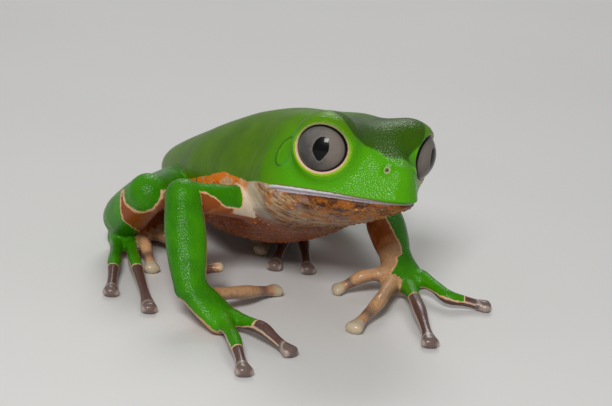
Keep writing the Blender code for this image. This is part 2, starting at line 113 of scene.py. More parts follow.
toes = {
    "R": (
        ((-7.9, 22.9, 1.7), (-6.0, 22.0, 1.8), (-3.4, 22.2, 0.6)),
        ((-9.0, 22.0, 1.7), (-7.4, 19.7, 2.0), (-4.7, 19.2, 0.6)),
        ((-9.9, 21.2, 1.8), (-11.2, 16.8, 2.2), (-11.7, 13.7, 0.6)),
        ((-11.6, 20.2, 1.5), (-13.9, 13.7, 1.6), (-17.5, 2.0, 0.55)),
        ((-12.9, 20.7, 1.4), (-16.3, 14.2, 1.6), (-19.4, 8.0, 0.55)),
    ),
    "L": (
        ((9.7, 22.2, 1.5), (8.4, 22.2, 1.6), (6.4, 21.6, 0.6)),
        ((9.7, 21.6, 1.5), (7.4, 20.4, 1.6), (4.8, 19.0, 0.6)),
        ((9.9, 21.0, 1.4), (7.0, 18.6, 1.5), (3.6, 16.0, 0.55)),
        ((10.1, 20.4, 1.4), (6.6, 15.8, 1.6), (2.6, 10.6, 0.55)),
        ((10.7, 20.3, 1.4), (8.6, 14.6, 1.6), (5.9, 8.4, 0.55)),
    ),
}

# The photograph's view: degrees, then millimetres
view = {"azimuth": -30, "elevation": 18, "roll": 5, "distance": 280, "aimHeight": 12, "lens": 148.24}


def outwards(azimuth, elevation):  # in radians
    flat = math.cos(elevation)
    return Vector((math.sin(azimuth) * flat, -math.cos(azimuth) * flat, math.sin(elevation)))


def viewAxes():  # to the right, up, and back towards the camera
    a, e, k = (math.radians(view[name]) for name in ("azimuth", "elevation", "roll"))
    back = outwards(a, e)
    right = Vector((math.cos(a), math.sin(a), 0))
    up = back.cross(right)
    return right * math.cos(k) + up * math.sin(k), up * math.cos(k) - right * math.sin(k), back


# Smooth steps, turns and the spine


def ease(x, start, end):
    k = np.clip((x - start) / (end - start), 0.0, 1.0)
    return k * k * (3 - 2 * k)


def bump(x, centre, width):
    return np.exp(-(((x - centre) / width) ** 2))


def alongTable(table, x):
    return np.interp(x, [row[0] for row in table], [row[1] for row in table])


def turnAxes(turn):  # forward, right and up for (yaw, pitch, roll) in degrees
    yaw, pitch, roll = np.moveaxis(np.radians(turn), -1, 0)
    flat = np.cos(pitch)
    forward = np.stack((np.sin(yaw) * flat, -np.cos(yaw) * flat, np.sin(pitch)), -1)
    level = np.stack((-np.cos(yaw), -np.sin(yaw), 0 * yaw), -1)
    up = np.cross(level, forward)
    c, s = np.cos(roll)[..., None], np.sin(roll)[..., None]
    return forward, level * c + up * s, up * c - level * s


def turnAt(s):
    s = np.asarray(s, float)[..., None]
    turn = headTurn + (trunkTurn - headTurn) * ease(s, *neckBend)
    return turn + (rumpTurn - turn) * ease(s, *rumpBend)


spineStep = 0.25
spineSpare = 3.0  # how far past its ends the spine line is followed
spineS = np.arange(0.0, snoutVent + spineSpare + 1, spineStep)
spinePoint = np.vstack(
    (np.zeros(3), np.cumsum(-turnAxes(turnAt(spineS + spineStep / 2))[0] * spineStep, 0)[:-1])
)
spinePoint = spinePoint + lipTip - origin
spineForward, spineRight, spineUp = turnAxes(turnAt(spineS))


def along(s, table):
    return np.stack([np.interp(s, spineS, table[:, i]) for i in range(3)], -1)


def onBody(s, t, h):  # s back from the snout, t to the frog's right, h above the spine line
    point = along(s, spinePoint) + along(s, spineRight) * t + along(s, spineUp) * h
    return point + along(s, spineForward) * max(0.0, -s)


def toBody(points):  # the reverse of onBody
    s = (lipTip - origin - points) @ along(10.0, spineForward)
    for _ in range(3):
        s = s + np.sum((along(s, spinePoint) - points) * along(s, spineForward), 1)
        s = np.clip(s, -spineSpare, snoutVent + spineSpare)
    offset = points - along(s, spinePoint)
    back = -np.sum(offset * along(s, spineForward), 1)
    s = np.where((s <= 0) | (s >= snoutVent), np.clip(s, 0, snoutVent + spineSpare) + back, s)
    return s, np.sum(offset * along(s, spineRight), 1), np.sum(offset * along(s, spineUp), 1)


def tableValue(s, column):  # a cubic through the body's rows that doesn't overshoot
    x = [row[0] for row in body]
    y = [row[column] for row in body]
    i = max(k for k in range(len(x) - 1) if x[k] <= s or k == 0)
    slopes = []
    for k in (i, i + 1):
        if 0 < k < len(x) - 1:
            before = (y[k] - y[k - 1]) / (x[k] - x[k - 1])
            after = (y[k + 1] - y[k]) / (x[k + 1] - x[k])
            product = before * after
            slopes.append(2 * product / (before + after) if product > 0 else 0.0)
        else:
            j = min(k, len(x) - 2)
            slopes.append((y[j + 1] - y[j]) / (x[j + 1] - x[j]))
    u = (s - x[i]) / (x[i + 1] - x[i])
    return (
        y[i] * (1 + 2 * u) * (1 - u) ** 2
        + y[i + 1] * u * u * (3 - 2 * u)
        + (x[i + 1] - x[i]) * (slopes[0] * u * (1 - u) ** 2 + slopes[1] * u * u * (u - 1))
    )


def halfSection(s):  # (t, h) points from the top round to the bottom
    w, above, below = (tableValue(s, column) for column in (1, 2, 3))
    lower = min(lowerLip, 0.45 * below)
    head = [(w * x, lipHeight + (above - lipHeight) * y) for x, y in crown + cheek]
    head += [(w * 0.985, lipHeight), (w, lipHeight / 2), (w, 0.0), (w * 0.985, -lower)]
    head += [(w * x, -lower - (below - lower) * y) for x, y in throat]
    trunk = []
    for i in range(len(head)):
        angle = math.pi * i / (len(head) - 1)
        height = above if angle < math.pi / 2 else below
        trunk.append((w * math.sin(angle) ** 0.9, height * math.cos(angle)))
    k = float(ease(s, *sectionBlend))
    return [(a * (1 - k) + c * k, b * (1 - k) + d * k) for (a, b), (c, d) in zip(head, trunk)]


def curveThrough(points, parts, closed=False):
    points = np.asarray(points, float)
    n = len(points)
    made = []
    for i in range(n if closed else n - 1):
        if closed:
            p = [points[(i + k) % n] for k in (-1, 0, 1, 2)]
        else:
            p = [points[min(n - 1, max(0, i + k))] for k in (-1, 0, 1, 2)]
        for j in range(parts):
            x = j / parts
            made.append(
                0.5
                * (
                    2 * p[1]
                    + (p[2] - p[0]) * x
                    + (2 * p[0] - 5 * p[1] + 4 * p[2] - p[3]) * x * x
                    + (3 * p[1] - p[0] - 3 * p[2] + p[3]) * x**3
                )
            )
    if not closed:
        made.append(points[-1])
    return np.array(made)


# The body's radius round its spine, as a table over (s, angle from the top)

radiusSteps, roundings = 96, 60
radiusS = np.concatenate((np.linspace(0, 1, 11)[:-1], np.arange(1.0, snoutVent + 0.01, 0.2)))


def radiusTable():
    angles = np.linspace(0, math.pi, radiusSteps)
    rows, middles = [], []
    for s in radiusS:
        half = halfSection(s)
        loop = half + [(-t, h) for t, h in reversed(half[1:-1])]
        line = curveThrough(loop, 6, closed=True)[: 6 * (len(half) - 1) + 1]
        middle = (half[0][1] + half[-1][1]) / 2
        angle = np.arctan2(line[:, 0], line[:, 1] - middle)
        angle = np.maximum.accumulate(np.clip(angle, 0, math.pi))
        rows.append(np.interp(angles, angle, np.hypot(line[:, 0], line[:, 1] - middle)))
        middles.append(middle)
    return np.array(rows), np.array(middles)


def softened(rows, times):  # rounds the snout's corners, less further back
    share = (1 - ease(radiusS, 2.5, 7.0))[:, None]
    for _ in range(times):
        wide = np.pad(rows, ((0, 0), (1, 1)), mode="reflect")
        rows = rows + share * 0.5 * ((wide[:, :-2] + wide[:, 2:]) / 2 - rows)
    return rows


radiusRows, radiusMiddle = radiusTable()
radiusRows = softened(radiusRows, roundings)
radiusSlope = np.gradient(radiusRows, radiusS, axis=0)


def lookUp(table, s, angle):
    row = np.interp(s, radiusS, np.arange(len(radiusS)))
    column = angle / math.pi * (radiusSteps - 1)
    i = np.clip(row.astype(int), 0, len(radiusS) - 2)
    j = np.clip(column.astype(int), 0, radiusSteps - 2)
    u, v = row - i, column - j
    low = table[i, j] * (1 - v) + table[i, j + 1] * v
    high = table[i + 1, j] * (1 - v) + table[i + 1, j + 1] * v
    return low * (1 - u) + high * u


def setback(s, h):  # the chin starts behind the snout, and the brow slopes back
    fade = np.clip(1 - s / frontEnd, 0, 1) ** 2
    chin = np.minimum(chinSetback, 0.1 - 0.75 * h)
    return fade * np.where(h < 0, chin, browSlope * np.maximum(0.0, h - browStart) ** 2)


def smoothUnion(a, b, k):
    k = np.maximum(k, 1e-3)
    x = np.clip(0.5 + 0.5 * (b - a) / k, 0, 1)
    return b * (1 - x) + a * x - k * x * (1 - x)


def smoothCut(a, b, k):  # takes b away from a
    return -smoothUnion(-a, b, k)


# The body's own relief: lips, mouth, ear, folds

relief = {
    "mouthDepth": 0.3,
    "mouthWidth": 0.2,
    "mouthEnd": (12.6, 14.9),
    "mouthTurn": (11.5, 14.5, 0.35),  # where the mouth's end turns down, and how far
    "lipAway": 0.5,
    "lipWidth": 0.35,
    "upperLip": 0.1,
    "lowerLip": 0.12,
    "eardrumHalf": (1.15, 1.6),
    "eardrumRim": 0.13,
    "eardrumRimWidth": 0.16,
    "eardrumDip": 0.06,
    "lore": ((3.6, 1.9), (2.6, 1.1), 0.12),  # place and width along and up, and depth
    "crown": ((6.2, 2.6), (0, 3.4), 0.42),  # the same along and across
    "back": ((20, 27), (40, 50), 1.3, 0.16),  # where the groove starts and ends, its width and depth
    "neckFolds": ((17.2, 1.6), (2.5, 2.8), 5.2, 0.06),
    "chestFold": (15.6, 0.5, 0.22),
    "canthus": (0.6, 0.05),
    "temple": (0.45, 0.15),
    "ridgesEnd": 18,
}
canthusLine = ((4.3, 4.4, 6.9), (3.6, 2.6, 5.6), (2.6, 2.0, 4.9), (1.8, 1.7, 4.4))
templeLine = ((10.8, 7.0, 7.0), (12.8, 7.6, 6.5), (14.3, 8.1, 5.2), (14.9, 8.5, 3.4), (14.9, 8.8, 1.6))


def earDistance(s, h):  # 1 on the eardrum's rim
    length, height = relief["eardrumHalf"]
    return np.hypot((s - eardrum[0]) / length, (h - eardrum[1]) / height)


def toLine(line, s, t, h):  # distance to a line of points in body coordinates
    points = np.stack((s, t, h), 1)
    best = np.full(len(points), 99.0)
    for a, b in zip(np.array(line[:-1]), np.array(line[1:])):
        share = np.clip((points - a) @ (b - a) / np.sum((b - a) ** 2), 0, 1)
        best = np.minimum(best, np.linalg.norm(points - a - share[:, None] * (b - a), axis=1))
    return best


def bodyField(points):
    s, t, h = toBody(points)
    s = s - setback(s, h)
    side = np.abs(t)
    inner = np.clip(s, 0, snoutVent)
    middle = np.interp(inner, radiusS, radiusMiddle)
    angle = np.arctan2(side, h - middle)
    radius = np.hypot(side, h - middle)
    slope = lookUp(radiusSlope, inner, angle)
    field = (radius - lookUp(radiusRows, inner, angle)) / np.sqrt(1 + slope**2)
    field = np.maximum(field, np.maximum(-s, s - snoutVent))
    r = relief
    near = 1 - ease(s, *r["mouthEnd"])
    turnStart, turnEnd, turnDown = r["mouthTurn"]
    mouth = alongTable(mouthLine, s) - turnDown * ease(s, turnStart, turnEnd)
    field = field + near * r["mouthDepth"] * bump(h, mouth, r["mouthWidth"])
    field = field - near * r["upperLip"] * bump(h, mouth + r["lipAway"], r["lipWidth"])
    field = field - near * r["lowerLip"] * bump(h, mouth - r["lipAway"], r["lipWidth"])
    length, height, depth = r["lore"]
    field = field + depth * bump(s, *length) * bump(h, *height)
    length, width, fill = r["crown"]
    field = field - fill * bump(s, *length) * bump(t, *width) * (h > 0)
    ear = earDistance(s, h)
    field = field - r["eardrumRim"] * bump(ear, 1.0, r["eardrumRimWidth"])
    field = field + r["eardrumDip"] * (1 - ease(ear, 0.75, 1.0))
    start, end, width, depth = r["back"]
    field = field + depth * bump(t, 0, width) * ease(s, *start) * (1 - ease(s, *end)) * (h > 0)
    front = s < r["ridgesEnd"]
    ridge = np.zeros(len(s))
    for line, (width, height) in ((canthusLine, r["canthus"]), (templeLine, r["temple"])):
        ridge[front] += height * bump(toLine(line, inner[front], side[front], h[front]), 0, width)
    field = field - ridge
    length, height, turns, depth = r["neckFolds"]
    field = field + depth * np.sin((s + 0.25 * h) * turns) * bump(s, *length) * bump(h, *height)
    at, width, depth = r["chestFold"]
    field = field + depth * bump(s - 0.35 * (h + 3), at, width) * ease(-h, 0.5, 2.5)
    return field, s, t, h


# Limbs: tubes of oval section through stations of (point, half width, half height)


def limb(stations, parts=5, up=(0, 0, 1)):
    centres = curveThrough([point for point, _, _ in stations], parts)
    sizes = curveThrough([(w, h) for _, w, h in stations], parts)
    return {"centres": centres, "sizes": sizes, "up": np.array(up, float)}


def limbField(tube, points):  # distance, share of the way along, and the side and top of the section
    best = np.full(len(points), 9.0)
    way = np.zeros(len(points))
    oval = np.zeros((len(points), 2))
    centres, sizes = tube["centres"], tube["sizes"]
    n = len(centres) - 1
    for i in range(n):
        a, b = centres[i], centres[i + 1]
        length = np.linalg.norm(b - a)
        ahead = (b - a) / length
        side = np.cross(ahead, tube["up"])
        side /= np.linalg.norm(side)
        top = np.cross(side, ahead)
        offset = points - a
        x = np.clip(offset @ ahead / length, 0, 1)
        offset = offset - x[:, None] * (b - a)
        w = sizes[i, 0] + (sizes[i + 1, 0] - sizes[i, 0]) * x
        h = sizes[i, 1] + (sizes[i + 1, 1] - sizes[i, 1]) * x
        u, v, z = offset @ side, offset @ top, offset @ ahead
        end = np.minimum(w, h)
        k0 = np.sqrt((u / w) ** 2 + (v / h) ** 2 + (z / end) ** 2)
        k1 = np.sqrt((u / w**2) ** 2 + (v / h**2) ** 2 + (z / end**2) ** 2)
        d = np.where(k1 > 1e-5, k0 * (k0 - 1) / np.maximum(k1, 1e-5), -end)
        nearer = d < best
        best = np.where(nearer, d, best)
        way = np.where(nearer, (i + x) / n, way)
        oval[nearer] = np.stack((u / w, v / h), 1)[nearer]
    return best, way, oval


def ball(centre, radius, points):
    return np.linalg.norm(points - centre, axis=1) - radius


def place(point):
    return np.array(point, float) - origin


def between(a, b, share):
    return a + (b - a) * share


padHalf = {"finger": (1.05, 0.7), "toe": (0.95, 0.65)}
digitHalf = {"finger": (0.95, 0.72, 0.62), "toe": (0.9, 0.68, 0.58)}
thumbPad = 0.8  # the raised thumb's pad, as a share of the others'


def digitStations(points, kind, pad=1.0):
    halves = digitHalf[kind]
    base, knuckle, tip = (place(p) for p in points)
    neck = between(knuckle, tip, 0.72)
    neck[2] = max(neck[2], 0.75)
    return (
        (base, halves[0], halves[0]),
        (between(base, knuckle, 0.5) + (0, 0, 0.1), halves[1], halves[1]),
        (knuckle, halves[1] * 1.1, halves[1] * 1.1),
        (between(knuckle, neck, 0.55), halves[2], halves[2]),
        (neck, halves[2], halves[2] * 0.9),
        (tip, padHalf[kind][0] * pad, padHalf[kind][1] * pad),
    )


limbRows = {  # share of the way along, half width, half height
    "upperArm": ((0, 1.9, 2.1), (0.5, 1.6, 1.75), (1, 1.7, 1.8)),
    "forearm": ((0, 1.9, 1.9), (0.35, 2.35, 2.1), (0.7, 2.2, 1.9), (1, 1.75, 1.45)),
    "thigh": ((0, 2.8, 2.5), (0.45, 2.7, 2.4), (0.8, 2.3, 2.1), (1, 2.2, 2.1)),
    "calf": ((0, 2.6, 2.5), (0.6, 1.7, 1.6), (1, 1.6, 1.5)),
    "foot": ((0, 1.55, 1.45), (0.35, 1.5, 1.35), (0.7, 1.9, 1.5), (1, 2.1, 1.3)),
}
growth = {  # how softly each limb grows out of its joint, and how far from the joint that reaches
    "upperArm": (3.2, 5.0),
    "forearm": (1.6, 3.5),
    "hand": (1.4, 3.5),
    "finger": (1.3, 3.2),
    "thigh": (3.0, 6.0),
    "shank": (1.2, 3.0),
    "foot": (1.0, 2.5),
    "foldedFoot": (2.2, 8.0),
    "toe": (1.2, 3.0),
}


def stations(start, end, rows):
    return [(between(start, end, share), w, h) for share, w, h in rows]


def flesh():  # every limb piece: its name, tube, the joint that it grows out of, and its growth
    pieces = []

    def add(name, rows, joint, kind, **options):
        pieces.append((name, limb(rows, **options), joint, *growth[kind]))

    for side in ("R", "L"):
        s, h = onBody(*shoulder[side]), onBody(*hip[side])
        e, w, p = place(elbow[side]), place(wrist[side]), place(palm[side])
        middleHalf, palmHalf = handHalf[side]
        hand = ((0.05, 1.85, 1.4), (0.55, middleHalf, 1.4), (1, palmHalf, 1.25))
        add("upperArm" + side, stations(s, e, limbRows["upperArm"]), s, "upperArm")
        add("forearm" + side, stations(e, w, limbRows["forearm"]), e, "forearm", up=(0, -1, 0.3))
        add("hand" + side, stations(w, p, hand), w, "hand")
        for i, points in enumerate(fingers[side]):
            pad = thumbPad if side == "R" and i == 0 else 1.0
            rows = digitStations(points, "finger", pad)
            add(f"finger{side}{i + 1}", rows, place(points[0]), "finger", parts=4)
        k, c = place(knee[side]), place(calf[side])
        e, p = place(heel[side]), place(sole[side])
        add("thigh" + side, stations(h, k, limbRows["thigh"]), h, "thigh")
        add("shank" + side, [(k, 2.3, 2.3), *stations(c, e, limbRows["calf"])], k, "shank")
        joint, kind = (between(e, p, 0.75), "foldedFoot") if side == "R" else (e, "foot")
        add("foot" + side, stations(e, p, limbRows["foot"]), joint, kind)
        for i, points in enumerate(toes[side]):
            add(f"toe{side}{i + 1}", digitStations(points, "toe"), place(points[0]), "toe", parts=4)
    return pieces


fleshPieces = flesh()

# The lids round the eyes, and the nostrils

lids = {"wall": 0.5, "blend": 1.5, "bead": 0.22, "beadOut": 0.12, "beadWide": 0.14, "crease": 0.15}
nose = {"moundRadius": 0.5, "moundBlend": 0.5, "holeRadius": 0.27, "holeOut": 0.56, "setBack": 0.35}
noseForward, noseUp = 0.75, 0.3  # the hole's direction, next to 1 sideways
margins = {"body": 14, "eye": 8, "limb": 4.5, "nostril": 3}  # how far round each its field is worked out


def eyePlace(side):
    s, t, h = eyeCentre[side]
    hand = 1 if side == "R" else -1
    forward, right, up = (along(s, table) for table in (spineForward, spineRight, spineUp))
    out, lift = math.radians(eyeOutward[side]), math.radians(eyeUpward[side])
    look = (forward * math.cos(out) + right * hand * math.sin(out)) * math.cos(lift)
    look = look + up * math.sin(lift)
    across = np.cross(up, look)
    across /= np.linalg.norm(across)
    return onBody(s, t, h), across, np.cross(look, across), look


def eyeCoordinates(side, points):
    # distances out along the look, from the centre, of the opening's edge, to the lids' ring and outside it
    centre, across, top, look = eyePlace(side)
    offset = points - centre
    out, x, y = offset @ look, offset @ across, offset @ top
    off = np.maximum(np.hypot(x, y), 1e-3)
    opening = eyeOpening * off / np.hypot(x / eyeOval[0], y / eyeOval[1])
    depth = np.sqrt(eyeRadius**2 - opening**2)
    grow = 1 + lids["beadOut"] / eyeRadius
    outside = off - (opening + lids["beadWide"]) * grow
    rim = np.hypot(outside, out - (depth - 0.1) * grow)
    return out, np.linalg.norm(offset, axis=1), depth, rim, outside, y / off


def nostrilPlace(side):
    hand = 1 if side == "R" else -1
    s, h = nostril
    middle = float(np.interp(s, radiusS, radiusMiddle))
    for t in np.arange(0.2, 6, 0.02):
        angle = np.array([math.atan2(t, h - middle)])
        if math.hypot(t, h - middle) > lookUp(radiusRows, np.array([s]), angle)[0]:
            break
    forward, right, up = (along(s, table) for table in (spineForward, spineRight, spineUp))
    out = right * hand + forward * noseForward + up * noseUp
    return onBody(s + nose["setBack"], hand * t, h), out / np.linalg.norm(out)


def fleshField(points):
    n = len(points)
    field, s, t, h = np.full(n, 9.0), np.zeros(n), np.zeros(n), np.zeros(n)
    low, high = spinePoint.min(0) - margins["body"], spinePoint.max(0) + margins["body"]
    near = np.all((points > low) & (points < high), 1)
    field[near], s[near], t[near], h[near] = bodyField(points[near])
    piece, way, section = np.full(n, -1), np.zeros(n), np.zeros((n, 2))
    for side in ("R", "L"):
        centre, _, _, look = eyePlace(side)
        near = np.linalg.norm(points - centre, axis=1) < margins["eye"]
        out, far, depth, rim, _, _ = eyeCoordinates(side, points[near])
        shell = smoothCut(far - eyeRadius - lids["wall"], depth - out, 0.3)
        f = smoothUnion(field[near], shell, lids["blend"])
        face = np.maximum(far - eyeRadius - 0.4, depth - out)
        f = smoothCut(f, face, lids["crease"])
        field[near] = smoothUnion(f, rim - lids["bead"], 0.25)
    for i, (_, tube, joint, blend, reach) in enumerate(fleshPieces):
        low, high = tube["centres"].min(0) - margins["limb"], tube["centres"].max(0) + margins["limb"]
        near = np.flatnonzero(np.all((points > low) & (points < high), 1))
        if len(near) == 0:
            continue
        d, w, r = limbField(tube, points[near])
        k = blend * np.clip(1 - np.linalg.norm(points[near] - joint, axis=1) / reach, 0, 1)
        closer = d < field[near]
        piece[near[closer]], way[near[closer]], section[near[closer]] = i, w[closer], r[closer]
        field[near] = smoothUnion(field[near], d, k)
    for side in ("R", "L"):
        at, out = nostrilPlace(side)
        near = np.linalg.norm(points - at, axis=1) < margins["nostril"]
        f = smoothUnion(field[near], ball(at, nose["moundRadius"], points[near]), nose["moundBlend"])
        hole = ball(at + out * nose["holeOut"], nose["holeRadius"], points[near])
        field[near] = smoothCut(f, hole, 0.08)
    return np.maximum(field, -points[:, 2]), (s, t, h, piece, way, section)


# Meshing the field: a grid near the surface, one vertex a crossed cell, then slid onto the surface

grid = {
    "coarse": 1.6,
    "parts": 4,
    "batch": 400000,
    "slides": 3,
    "longestSlide": 0.12,
    "probe": 0.02,
    "headEnd": 15.2,
    "rimWidth": 1.1,
    "nostrilWidth": 1.2,
    "mouthWidth": 0.5,
    "mouthEnd": 14.5,
}


def fineBlocks(cells, parts, shape):  # marks the fine points of the chosen coarse cells
    marked = np.zeros(shape, bool)
    for x, y, z in np.argwhere(cells) * parts:
        marked[x : x + parts + 1, y : y + parts + 1, z : z + parts + 1] = True
    return marked


def surfaceNets(low, high, step, parts):  # vertices and quads round the field's zero
    counts = np.ceil((high - low) / step).astype(int) + 1
    axes = [low[i] + step * np.arange(counts[i]) for i in range(3)]
    corners = np.stack(np.meshgrid(*axes, indexing="ij"), -1).reshape(-1, 3)
    coarse = fleshField(corners)[0].reshape(counts)
    close = np.abs(coarse) < step * 1.25
    nx, ny, nz = counts - 1
    cells = np.zeros((nx, ny, nz), bool)
    for x, y, z in np.ndindex(2, 2, 2):
        cells |= close[x : x + nx, y : y + ny, z : z + nz]
    fine = (counts - 1) * parts + 1
    values = np.full(fine, 5.0)
    values[fineBlocks(~cells & (coarse[:-1, :-1, :-1] < 0), parts, fine)] = -5.0
    where = np.argwhere(fineBlocks(cells, parts, fine))
    fineStep = step / parts
    for start in range(0, len(where), grid["batch"]):
        part = where[start : start + grid["batch"]]
        values[tuple(part.T)] = fleshField(low + part * fineStep)[0]
    return netFaces(values, low, fineStep)


def netFaces(values, low, step):
    inside = values < 0
    size = np.array(values.shape) - 1
    total = np.zeros((*size, 3))
    count = np.zeros(size)
    quads = []
    index = np.arange(size.prod()).reshape(size)
    for axis in range(3):
        a, b = np.roll((0, 1, 2), -axis - 1)[:2]
        shape = list(values.shape)
        shape[axis] -= 1
        first = np.take(values, range(shape[axis]), axis)
        second = np.take(values, range(1, shape[axis] + 1), axis)
        crossed = np.argwhere((first < 0) != (second < 0))
        keep = np.all(crossed > 0, 1) & (crossed[:, a] < size[a]) & (crossed[:, b] < size[b])
        crossed = crossed[keep]
        f0, f1 = first[tuple(crossed.T)], second[tuple(crossed.T)]
        at = crossed.astype(float)
        at[:, axis] += f0 / (f0 - f1)
        ring = []
        for da, db in ((0, 0), (1, 0), (1, 1), (0, 1)):
            cell = crossed.copy()
            cell[:, a] -= da
            cell[:, b] -= db
            np.add.at(total, tuple(cell.T), at)
            np.add.at(count, tuple(cell.T), 1)
            ring.append(index[tuple(cell.T)])
        ring = np.stack(ring, 1)
        ring[f0 > 0] = ring[f0 > 0][:, ::-1]
        quads.append(ring)
    quads = np.vstack(quads)
    used, quads = np.unique(quads, return_inverse=True)
    quads = quads.reshape(-1, 4)
    middle = total.reshape(-1, 3)[used] / count.reshape(-1)[used][:, None]
    return low + middle * step, quads


def slope(points, probe):  # the field and its gradient
    here = fleshField(points)[0]
    rises = [fleshField(points + probe * np.eye(3)[i])[0] - here for i in range(3)]
    return here, np.stack(rises, 1) / probe


def slideOnto(points, slides):
    limit = grid["longestSlide"]
    for _ in range(slides):
        value, rise = slope(points, grid["probe"])
        steep = np.maximum(np.sum(rise**2, 1), 0.25)
        move = -np.clip(value, -limit, limit)[:, None] * rise / steep[:, None]
        points = points + move
        points[:, 2] = np.maximum(points[:, 2], 0.0)
    return points


def netOfFrog():
    middles = np.vstack([tube["centres"] for _, tube, _, _, _ in fleshPieces])
    spread = np.vstack((middles - 3.5, middles + 3.5, spinePoint - 10.5, spinePoint + 10.5))
    low, high = spread.min(0), spread.max(0)
    low[2] = -grid["coarse"] * 0.5
    points, quads = surfaceNets(low, high, grid["coarse"], grid["parts"])
    mesh = bmesh.new()
    verts = [mesh.verts.new(p) for p in points]
    for quad in quads:
        mesh.faces.new([verts[i] for i in quad])
    bmesh.ops.recalc_face_normals(mesh, faces=mesh.faces)
    return mesh


def split(mesh, chosen):  # cuts the chosen faces in four
    faces = list(mesh.faces)
    edges = {edge for face, pick in zip(faces, chosen) if pick for edge in face.edges}
    bmesh.ops.subdivide_edges(mesh, edges=list(edges), cuts=1, use_grid_fill=True)


def coordinates(mesh):
    return np.array([vert.co for vert in mesh.verts])


def centres(mesh):
    return np.array([face.calc_center_median() for face in mesh.faces])


def settle(mesh, slides):
    points = slideOnto(coordinates(mesh), slides)
    for vert, point in zip(mesh.verts, points):
        vert.co = point
    return points


def needsDetail(points):  # near an eye's opening, the mouth or a nostril
    _, (s, _, h, piece, _, _) = fleshField(points)
    offLine = np.abs(h - alongTable(mouthLine, s))
    close = (piece < 0) & (s < grid["mouthEnd"]) & (offLine < grid["mouthWidth"])
    for side in ("R", "L"):
        close |= eyeCoordinates(side, points)[3] < grid["rimWidth"]
        close |= np.linalg.norm(points - nostrilPlace(side)[0], axis=1) < grid["nostrilWidth"]
    return close


def refinedSkin():
    mesh = netOfFrog()
    print("skin: first net of", len(mesh.faces), "faces")
    settle(mesh, 2)
    _, (s, _, _, piece, _, _) = fleshField(centres(mesh))
    digit = np.array([name.startswith(("finger", "toe")) for name, *_ in fleshPieces] + [False])
    split(mesh, ((piece < 0) & (s < grid["headEnd"])) | digit[piece])
    settle(mesh, 2)
    split(mesh, needsDetail(centres(mesh)))
    bmesh.ops.triangulate(mesh, faces=[f for f in mesh.faces if len(f.verts) > 4])
    points = settle(mesh, grid["slides"])
    openEdges = sum(not edge.is_manifold for edge in mesh.edges)
    print("skin:", len(mesh.faces), "faces,", openEdges, "open edges")
    return mesh, points


# What each point of the skin is: signed distances in millimetres and shares, kept as attributes

coat = {
    "lipTop": (
        *((0, 0.05), (0.7, 0.18), (2.5, 0.36), (5.8, 0.5), (8.5, 0.54)),
        *((12.0, 0.52), (13.0, 0.44), (13.4, 0.0)),
    ),
    "lipUnder": ((0, 0.06), (7.0, 0.06), (10.5, 0.16), (12.0, 0.14), (13.4, -0.25)),
    "flank": (
        *((0, -0.04), (10, -0.04), (12, 0.25), (13.4, 0.5), (15.4, 0.6), (17.5, 0.35)),
        *((19.2, 0.6), (22.3, 1.15), (25, 0.6), (28.8, -0.1)),
        *((34, -0.9), (40, -1.1), (46, -0.4), (52.8, 0.4)),
    ),
    # where the painted shade of the head's top ends, as a line across and up in the view
    "crown": (
        *((-9.0, 11.1), (-8.0, 10.0), (-6.86, 9.0), (-6.44, 8.44), (-5.55, 7.18)),
        *((-4.43, 6.13), (-2.94, 5.54), (-2.2, 5.02), (-1.1, 4.72), (0.4, 4.72)),
    ),
    "armFront": ((0, -0.2), (0.45, -0.2), (0.55, -0.12), (0.66, 0.32), (0.77, 0.58), (1, 0.8)),
    "armStart": 0.36,
    "legEdge": ((-5.5, -0.9), (-4.4, -1.5), (-3.76, -2.3), (-3.0, -3.1), (-2.2, -3.3), (3.0, -3.3)),
    "kneeBall": (-0.65, 0.15, 2.15),
    "throatEnd": (14.0, 19.0),
    "patch": ((16.4, 1.6), (-1.6, 2.4)),  # the pale patch before the arm: place and width along and up
    "patchOnArm": ((0.33, 0.5), (-0.9, -0.4)),
    "flash": ((15.5, 18.5), (1.0, 4.0)),  # where the flank's orange starts, and fades downwards
    "lipEnd": 15,
    "earEnd": 16,
    "granuleStart": 1.2,
    "granules": (0.25, 0.8),  # how far below the green they start and are all there
    "fewer": (11.5, 3.5, 0.6),  # place, width and share of the granules missing at the throat's rear
    "digitGreen": {
        **{"fingerR3": 0.3, "fingerR4": 0.55, "fingerL3": 0.2, "fingerL4": 0.6},
        **{"toeR4": 0.48, "toeR5": 0.5, "toeL4": 0.3, "toeL5": 0.34},
    },
}
forearmOuter = ((0, -170), (0.6, -160), (1, -128))
handOuter = ((0, -126), (0.5, -106), (0.8, -98), (1, -95))
thighRange = (((0, -130),), ((0, 75),), 0.042)
greenRange = {  # degrees round a limb where its green starts and ends, by the way along, and mm a degree
    "forearmR": (forearmOuter, ((0, 51),), 0.036),
    "forearmL": (forearmOuter, ((0, 50), (0.6, 25), (0.8, 8), (1, 5)), 0.036),
    "handR": (handOuter, ((0, 46),), 0.032),
    "handL": (handOuter, ((0, 17), (0.3, 22), (0.8, 50), (1, 55)), 0.032),
    "thighR": thighRange,
    "thighL": thighRange,
}


def photoView(offset, side="R"):  # across and up in the photo's view, mirrored for the left side
    right, up, _ = viewAxes()
    seen = offset * ((1, 1, 1) if side == "R" else (-1, 1, 1))
    return seen @ np.array(right), seen @ np.array(up)


